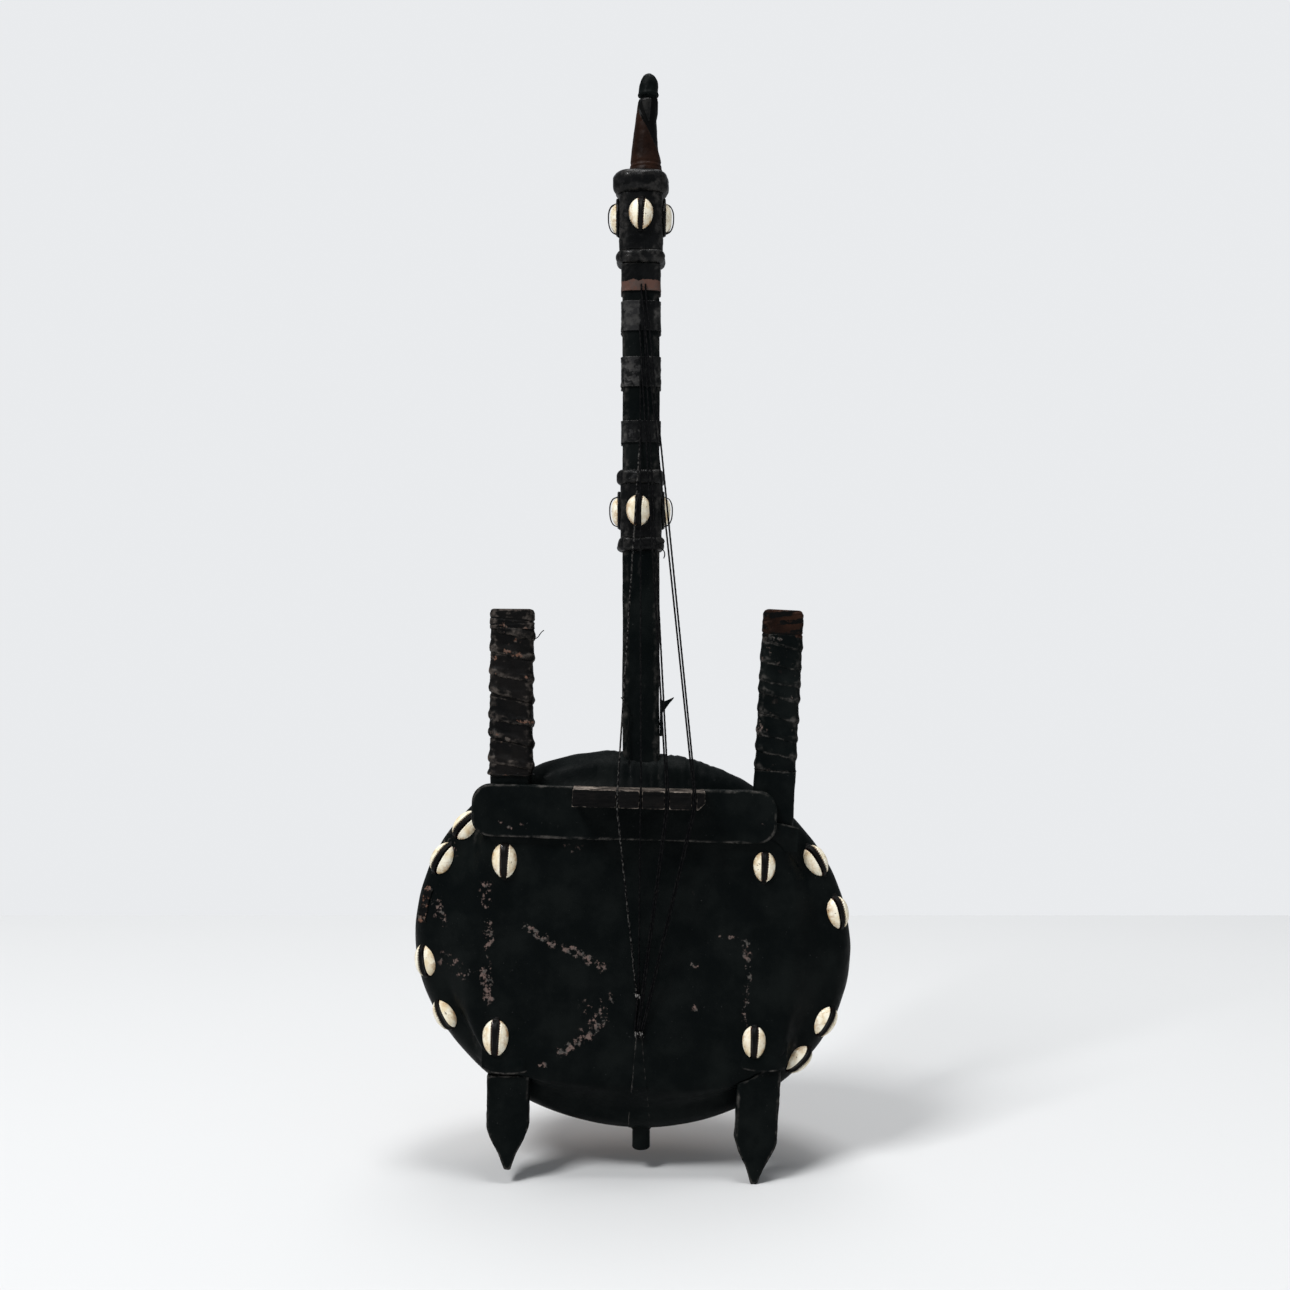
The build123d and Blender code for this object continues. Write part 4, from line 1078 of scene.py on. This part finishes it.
# Strings: band, its body, X on the band, notch, strings' pitches beside the notch and beside the knot
STRING_RUNS = (
    ("string_band", "string_band_body", 2.7, 3, 0.5, 2.0),
    ("string_band", "string_band_body", 0.2, 3, -0.5, 1.0),
    ("tuning_ring_1", "ring_1_body", 2.0, 2, 0.5, 0.0),
    ("tuning_ring_1", "ring_1_body", -0.7, 2, -0.5, -1.0),
    ("tuning_ring_2", "ring_2_body", -0.4, 1, 0.0, 0.5),
    ("tuning_ring_3", "ring_3_body", -0.7, 0, 0.0, -0.5),
)


def tube(name, route, radius, material, body=MAIN, sides=10, twist=0.0):
    """A round tube along points in mm, its radius a number or one for each point."""
    route = np.array(route, float)
    count = len(route)
    tangent = np.gradient(route, axis=0)
    tangent /= np.linalg.norm(tangent, axis=1)[:, None]
    radii = np.broadcast_to(radius, count)
    side = np.cross(tangent[0], (0.0, 1.0, 0.1))
    side /= np.linalg.norm(side)
    points = []
    for i in range(count):
        side = side - tangent[i] * (side @ tangent[i])
        side /= np.linalg.norm(side)
        other = np.cross(tangent[i], side)
        for j in range(sides):
            a = 2 * math.pi * j / sides
            ridge = 1 + 0.10 * math.cos(3 * (a + twist * i))
            points.append(route[i] + radii[i] * ridge * (side * math.cos(a) + other * math.sin(a)))
    return make_object(name, points, capped_faces(count, sides), material, body)


def along(points, step):
    """Points every step mm along a broken line, its corners rounded by averaging."""
    points = np.array(points, float)
    lengths = np.linalg.norm(np.diff(points, axis=0), axis=1)
    places = np.concatenate(([0], np.cumsum(lengths)))
    count = max(int(places[-1] / step), 4)
    at = np.linspace(0, places[-1], count)
    line = np.column_stack([np.interp(at, places, points[:, k]) for k in range(3)])
    for _ in range(3):
        line[1:-1] = (line[:-2] + 2 * line[1:-1] + line[2:]) / 4
    return line


def bar_point(x, z, reach):
    """A point of the bar's own frame in the part's frame."""
    turn = math.radians(PLATE_TILT)
    dx = x - BAR_X
    return (BAR_X + dx * math.cos(turn) + z * math.sin(turn), PLATE_FRONT - reach,
            BAR_Z - dx * math.sin(turn) + z * math.cos(turn))


def make_strings():
    """Six strings of black thread, each from its band over the bar down to its knot."""
    front = -(NECK_HALF[1] + 0.2 + 0.8 + SEAT + STRING_RADIUS)
    in_notch = BAR_REACH - NOTCH_DEPTH + SEAT + STRING_RADIUS
    for number, (band, body, x, notch, beside, at_knot) in enumerate(STRING_RUNS, 1):
        bottom, _ = node_span(band)
        across = NOTCHES[notch] + beside * STRING_PITCH
        knot, radius = (UPPER_KNOT, UPPER_KNOT_RADIUS) if notch < 2 else (LOWER_KNOT, LOWER_KNOT_RADIUS)
        over_bar = bar_point(across, BAR_HEIGHT / 2, in_notch)
        under_bar = bar_point(across, -BAR_HEIGHT / 2, in_notch)
        end = (knot[0] + at_knot * STRING_PITCH, FACE_Y - PROUD - SEAT - radius, knot[1] + radius + SEAT)
        route = along(((x, front, bottom + 3.6), (x, front, bottom), over_bar, under_bar, end), 1.0)
        thread = PALE_THREAD if number == 6 else THREAD
        string = tube(f"string_{number}_thread", route, STRING_RADIUS, thread, None, sides=9, twist=0.55)
        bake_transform(string, MAIN, body, [c * MM for c in over_bar], (x * MM, front * MM, bottom * MM))
        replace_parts(string, f"string_{number}")


def make_tail():
    """Knots, the cord between them and the strap down to the spike."""
    upper = np.array((UPPER_KNOT[0], FACE_Y - PROUD - SEAT - UPPER_KNOT_RADIUS, UPPER_KNOT[1]))
    lower = np.array((LOWER_KNOT[0], FACE_Y - PROUD - SEAT - LOWER_KNOT_RADIUS, LOWER_KNOT[1]))
    for name, centre, size, turns in (("upper_knot", upper, UPPER_KNOT_RADIUS - 0.45, 2.6),
                                      ("lower_knot", lower, LOWER_KNOT_RADIUS - 0.5, 4.0)):
        route = []
        for i in range(150):
            t = i / 149
            a = 2 * math.pi * turns * t
            wide = (1.3 if name == "upper_knot" else 2.7) * (2 * t - 1)
            up = size * 0.95 * math.sin(a) + 0.25 * math.sin(3 * a)
            route.append(centre + (wide, size * math.cos(a), up))
        knot = tube(name, route, 0.5, KNOT_THREAD, sides=8)
        if name == "upper_knot":
            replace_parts(knot, "string_knots")
    start = upper + (0, 0, -UPPER_KNOT_RADIUS)
    end = lower + (-2.2 * STRING_PITCH, 0, LOWER_KNOT_RADIUS)
    cord = tube("tail_cord_thread", along((start, end), 1.0), 0.7, THREAD, sides=10, twist=0.5)
    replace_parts(cord, "tail_cord")
    worn_copy("tail_strap", BLACK, voxel=0.45, bumps=((12, 0.15, 95), (3, 0.06, 96)), rounding=2)


# Cowries
def slit_half(size, t):
    """Half the width of a slit at t along it, -1 to 1; the shells on the neck open like two petals."""
    width = size[1]
    if size is NECK_COWRIE:
        return 0.20 * width / 2 + 0.9 * max(t, 0.0) ** 1.5 + 0.2
    return 0.31 * width / 2 + 0.35 * t


def cowrie_points(size):
    """A shell about its seat's middle: X across, Y along, Z out, with its wide, toothed slit."""
    rows, columns = SHELL_GRID
    length, width, height = size
    narrow, broad = 0.55 * length, 0.45 * length
    points, edge, slit = [], [], []
    spread = np.linspace(-1, 1, columns)
    spread = np.sign(spread) * (0.45 * np.abs(spread) + 0.55 * np.abs(spread) ** 2.4)
    for i in range(rows):
        t = -math.cos(math.pi * i / (rows - 1))
        y = t * (narrow if t < 0 else broad)
        wide = width / 2 * max(1 - abs(t) ** 2.1, 0.0) ** 0.56
        tall = height * max(1 - abs(t) ** 2.5, 0.0) ** 0.55
        line = 0.40 * math.sin(1.4 * t + 0.3)
        half = slit_half(size, t)
        fade = max(1 - abs(t) ** 8, 0.0)
        for s in spread:
            x = s * wide
            dome = max(1 - abs(s) ** 2.3, 0.0) ** 0.55
            right = x > line
            teeth = max(0.0, math.cos(2 * math.pi * y / 1.45 + (0.9 if right else 0.0)))
            teeth *= 1.0 if right else 0.45
            away = abs(x - line)
            lip = half - 0.42 * teeth
            inside = 1 / (1 + math.exp((away - lip) / 0.13))
            rim = 0.30 * math.exp(-((away - half - 0.5) / 0.55) ** 2)
            z = tall * dome + (rim - 1.9 * inside) * fade * min(tall / 3.0, 1.0)
            points.append((x, y, max(z, 0.0)))
            edge.append(max(abs(s), abs(t)) ** 2.6)
            # deep: how far into the slit a point lies, which the material paints near black as shade
            deep = 0.45 / (1 + math.exp((away - lip + 0.5) / 0.15))
            slit.append(fade * min(1.0, inside * 0.75 + deep))
    return np.array(points), np.array(edge), np.array(slit)


def thong_points(size):
    """The leather thong in the slit, which dives into the hide past both ends of the shell."""
    rows, columns = THONG_GRID
    length, width, height = size
    narrow, broad = 0.55 * length, 0.45 * length
    points = []
    for i in range(rows):
        t = -1.13 + 2.26 * i / (rows - 1)
        y = t * (narrow if t < 0 else broad)
        inside = max(1 - min(abs(t), 1.0) ** 2.5, 0.0) ** 0.55
        top = max(height * inside + 0.3, 0.75 if abs(t) < 1.08 else 0.15)
        half = 0.55 * slit_half(size, t) + 0.10 * math.sin(7 * t) + 0.45 * float(soft_step(abs(t), 0.75, 1.0))
        for j in range(columns):
            a = math.pi * j / (columns - 1)
            x = 0.40 * math.sin(1.4 * t + 0.3) - half * math.cos(a)
            points.append((x, y, top + 0.40 * math.sin(a) + 0.12 * math.cos(3 * a) - 0.25))
    return np.array(points)


def seat_axes(origin, normal, up):
    """Axes of a shell's seat, with its length along up."""
    normal = np.array(normal, float)
    normal /= np.linalg.norm(normal)
    across = np.cross(up, normal)
    across /= np.linalg.norm(across)
    return np.array(origin, float), np.stack((across, np.cross(normal, across), normal))


def shoulder_seat(bearing):
    """Seat on the shoulder at a bearing round the body."""
    turn = math.radians(bearing + BODY_ROLL)
    t = math.atan2(math.sin(turn) * BODY_LONG, math.cos(turn) * BODY_SHORT)
    lean = math.radians(SIDE_LEAN)
    radius = SHOULDER + SEAT
    out = RIM + radius * math.sin(lean)
    roll = math.radians(BODY_ROLL)

    def turned(x, y, z):
        return np.array((x * math.cos(roll) + z * math.sin(roll), y, z * math.cos(roll) - x * math.sin(roll)))

    point = turned(out * math.cos(t) * STRETCH, SHOULDER - radius * math.cos(lean), out * math.sin(t))
    lean -= math.radians(SIDE_TURN)
    normal = turned(math.sin(lean) * math.cos(t) / STRETCH, -math.cos(lean), math.sin(lean) * math.sin(t))
    up = turned(-math.sin(t) * STRETCH, 0, math.cos(t))
    return seat_axes(point + (BODY_X, FACE_Y, BODY_Z), normal, up / np.linalg.norm(up))


def make_pocket(name, size, seat):
    """The raised hide round a shell on the side of a cuff, pointed above and below."""
    length, width, _ = size
    origin, axes = seat
    rows, columns = 72, 10
    points = []
    for i in range(rows):
        a = 2 * math.pi * i / rows
        c, s = math.cos(a), math.sin(a)
        ring = np.array((0.54 * width * math.copysign(abs(c) ** 1.15, c), 0.56 * length * s, 0.0))
        outward = np.array((c, 0.8 * s, 0)) / math.hypot(c, 0.8 * s)
        for j in range(columns):
            b = 2 * math.pi * j / columns
            points.append(ring + outward * 0.95 * math.cos(b) + (0, 0, 0.5 + 1.05 * math.sin(b)))
    points = np.array(points)
    points += 0.1 * waves(points, 5, 131)[:, None]
    add_wear(make_object(name, origin + points @ axes, grid_faces(rows, columns, wrap_rows=True), BAND))


def place_cowrie(name, size, seat, hollow, with_shell, pocket):
    """One shell and its thong on a seat; hollow is the radius of the shoulder that its back is bent round."""
    origin, axes = seat
    made = None
    if with_shell:
        points, edge, slit = cowrie_points(size)
        rows, columns = SHELL_GRID
        if hollow:
            sag = hollow - np.sqrt(np.maximum(hollow ** 2 - points[:, 0] ** 2, 0)) + 1.4
            points[:, 2] -= sag * (1 - np.clip(points[:, 2] / 2.0, 0, 1))
        faces = grid_faces(rows, columns, wrap_columns=False)
        rim = [i * columns for i in range(rows)] + [i * columns + columns - 1 for i in range(rows)][::-1]
        faces.append(tuple(rim))
        layers = {"edge": edge, "slit": slit}
        made = make_object(name, origin + points @ axes, faces, SHELL, attributes=layers)
    if pocket:
        make_pocket(name + "_pocket", size, seat)
    points = thong_points(size)
    if pocket:
        points[:, 2] += 1.1 * soft_step(points[:, 2], 1.0, 3.5)
    if not with_shell:
        points[:, 2] = np.minimum(points[:, 2], 1.9) + 0.35 * waves(points, 7, 133)
        points[:, 0] *= 2.0
    faces = grid_faces(*THONG_GRID, wrap_columns=False)
    thong = make_object(name + "_thong", origin + points @ axes, faces, WRAP)
    store(thong, "scuff_and_painted_light", np.full(len(points), 0.0 if with_shell else 0.35))
    thicken(thong, 0.5)
    add_wear(thong, sharp=0.25)
    return made, thong


def make_cowries():
    """Shells on the face, the shoulder and the cuffs."""
    front, up = (0, -1, 0), (0, 0, 1)
    groups = {"face": [], "left_side": [], "right_side": [], "upper_cuff": [], "mid_cuff": []}
    for x, z, share in FACE_PLACES:
        seat = seat_axes((x, FACE_Y - PROUD - SEAT, z), front, up)
        groups["face"].append((tuple(share * c for c in FACE_COWRIE), seat, 0, True))
    for group, bearings in SIDE_BEARINGS:
        for bearing in bearings:
            entry = (SIDE_COWRIE, shoulder_seat(bearing), SHOULDER * STRETCH, bearing != LOST_BEARING)
            groups[group].append(entry)
    for group, (thick, z, front_x) in CUFFS.items():
        out = thick + SEAT
        seats = [seat_axes((front_x, -NECK_HALF[1] - out, z), front, up)]
        seats += [seat_axes((way * (NECK_HALF[0] + out), 0, z), (way, 0, 0), up) for way in (-1, 1)]
        groups[group] += [(NECK_COWRIE, seat, 0, True) for seat in seats]
    for group, entries in groups.items():
        for number, (size, seat, hollow, with_shell) in enumerate(entries, 1):
            pocket = size is NECK_COWRIE and number > 1
            made, thong = place_cowrie(f"{group}_cowrie_{number}", size, seat, hollow, with_shell, pocket)
            if number == 1:
                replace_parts(made, f"{group}_cowries")
                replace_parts(thong, f"{group}_thongs")


def dress_rigid_nodes():
    """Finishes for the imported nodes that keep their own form."""
    for node in ("gourd_bowl", "neck_stick", "left_handle_stick", "right_handle_stick", "plate_board"):
        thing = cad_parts[node]
        thing.data.materials.clear()
        thing.data.materials.append(GOURD if node == "gourd_bowl" else BLACK)


# Frayed ends: name, route and radius
LOOSE_THREADS = (
    ("left_handle_thread", ((-66.5, -22, 297.6), (-63.2, -23, 297.0), (-60.6, -23, 298.6),
                            (-59.4, -23, 301.4), (-57.6, -22.5, 302.4)), 0.28),
    ("mid_cuff_thread_1", ((10.6, -13, 352.6), (13.4, -14, 351.0), (14.6, -14.4, 348.2),
                           (13.6, -14, 345.6)), 0.35),
    ("mid_cuff_thread_2", ((8.0, -14, 353.6), (11.5, -14.8, 354.2), (14.2, -14.4, 355.8)), 0.3),
    ("neck_thread", ((-12.0, -8, 262.0), (-8.6, -11.6, 258.5), (-6.6, -11.8, 252.6), (-7.8, -11.8, 243.0),
                     (-6.9, -11.8, 226.0), (-7.6, -11.9, 216.0)), 0.3),
)


def make_loose_threads():
    """Frayed ends at the left handle, at the middle cuff and down the neck's left side."""
    for name, route, radius in LOOSE_THREADS:
        tube(name, along(route, 0.8), radius, THREAD, sides=7, twist=0.5)


def make_tab():
    """The leather thorn at the neck's foot."""
    worn_copy("neck_tab", BLACK, voxel=0.3, bumps=((6, 0.12, 97),), rounding=1)


# Stage, light and camera; lengths and lamps in metres
FLOOR_HALF, FLOOR_BACK = 6.0, 0.86
FLOOR_COLOUR = (0.655, 0.659, 0.662)
# Colour and strength of what the camera sees behind the floor, and of the room that lights the object
BACKDROP = ((0.89, 0.905, 0.925, 1), 0.92)
ROOM = ((0.92, 0.96, 1.0, 1), 0.30)
# Lamps: name, place, power, width, aim
LAMPS = (
    ("key", (-2.3, -2.7, 4.3), 236, 1.4, (0, 0, 0.25)),
    ("top", (0.3, -0.6, 4.5), 80, 1.2, (0, 0, 0.25)),
    ("fill", (1.5, -1.5, 0.6), 2, 1.2, (0, 0, 0.25)),
    ("back", (0.1, 1.2, 4.2), 42, 2.2, (0, 1.2, 0)),
)


def make_stage():
    """The pale floor, which ends behind the object so that its far edge stands where the photo's does."""
    floor_z = cad_low.z
    outline = ((-1, -FLOOR_HALF), (1, -FLOOR_HALF), (1, FLOOR_BACK), (-1, FLOOR_BACK))
    corners = [(way * FLOOR_HALF, y, floor_z) for way, y in outline]
    mesh = bpy.data.meshes.new("floor")
    mesh.from_pydata(corners, [], [(0, 1, 2, 3)])
    mesh.materials.append(plain_material("pale_floor", FLOOR_COLOUR, 0.7))
    floor = bpy.data.objects.new("floor", mesh)
    bpy.context.scene.collection.objects.link(floor)


def make_light():
    """A backdrop for the camera, a dimmer room for the object, and the lamps."""
    world = bpy.data.worlds.new("studio")
    bpy.context.scene.world = world
    world.use_nodes = True
    tree = world.node_tree
    backdrop = tree.nodes["Background"]
    room = tree.nodes.new("ShaderNodeBackground")
    for node, (colour, strength) in ((backdrop, BACKDROP), (room, ROOM)):
        node.inputs["Color"].default_value = colour
        node.inputs["Strength"].default_value = strength
    rays = tree.nodes.new("ShaderNodeLightPath")
    choice = tree.nodes.new("ShaderNodeMixShader")
    tree.links.new(rays.outputs["Is Camera Ray"], choice.inputs[0])
    tree.links.new(room.outputs[0], choice.inputs[1])
    tree.links.new(backdrop.outputs[0], choice.inputs[2])
    tree.links.new(choice.outputs[0], tree.nodes["World Output"].inputs["Surface"])
    bpy.context.scene.view_settings.view_transform = "Standard"
    for name, place, energy, size, aim in LAMPS:
        data = bpy.data.lights.new(name, "AREA")
        data.energy = energy
        data.size = size
        lamp = bpy.data.objects.new(name, data)
        lamp.location = place
        lamp.rotation_euler = (Vector(aim) - Vector(place)).to_track_quat("-Z", "Y").to_euler()
        bpy.context.scene.collection.objects.link(lamp)


def make_camera():
    """The photograph's point of view."""
    data = bpy.data.cameras.new("camera")
    data.sensor_width = SENSOR
    data.lens = SENSOR * FOCAL_PIXELS / PHOTO_SIDE
    camera = bpy.data.objects.new("camera", data)
    camera.location = [c * MM for c in CAMERA_PLACE]
    camera.rotation_euler = (math.pi / 2, 0, 0)
    bpy.context.scene.collection.objects.link(camera)
    bpy.context.scene.camera = camera


make_stage()
make_light()
make_camera()
dress_rigid_nodes()
make_face_skin()
make_slit_lips()
make_neck()
make_cone()
make_hood()
make_tongue()
make_roll("neck_top_roll", 5.2, 1.2, 101)
make_cuff("upper_cuff", 103)
make_roll("upper_cuff_lower_roll", 3.6, 0.8, 105)
make_roll("mid_cuff_upper_roll", 3.0, 0.5, 107)
make_cuff("mid_cuff", 109)
make_roll("mid_cuff_lower_roll", 3.0, 0.5, 111)
make_band("string_band", "string_band_body", 113, 0.10, brown_below=513.5)
# pale: strength of the painted light on each ring's left front facet
make_band("tuning_ring_1", "ring_1_body", 115, 0.14, pale=1.3)
make_band("tuning_ring_2", "ring_2_body", 117, 0.34, pale=0.75)
make_band("tuning_ring_3", "ring_3_body", 119, 0.16, pale=0.35)
make_handles()
make_bridge()
make_strings()
make_tail()
make_cowries()
make_tab()
make_loose_threads()
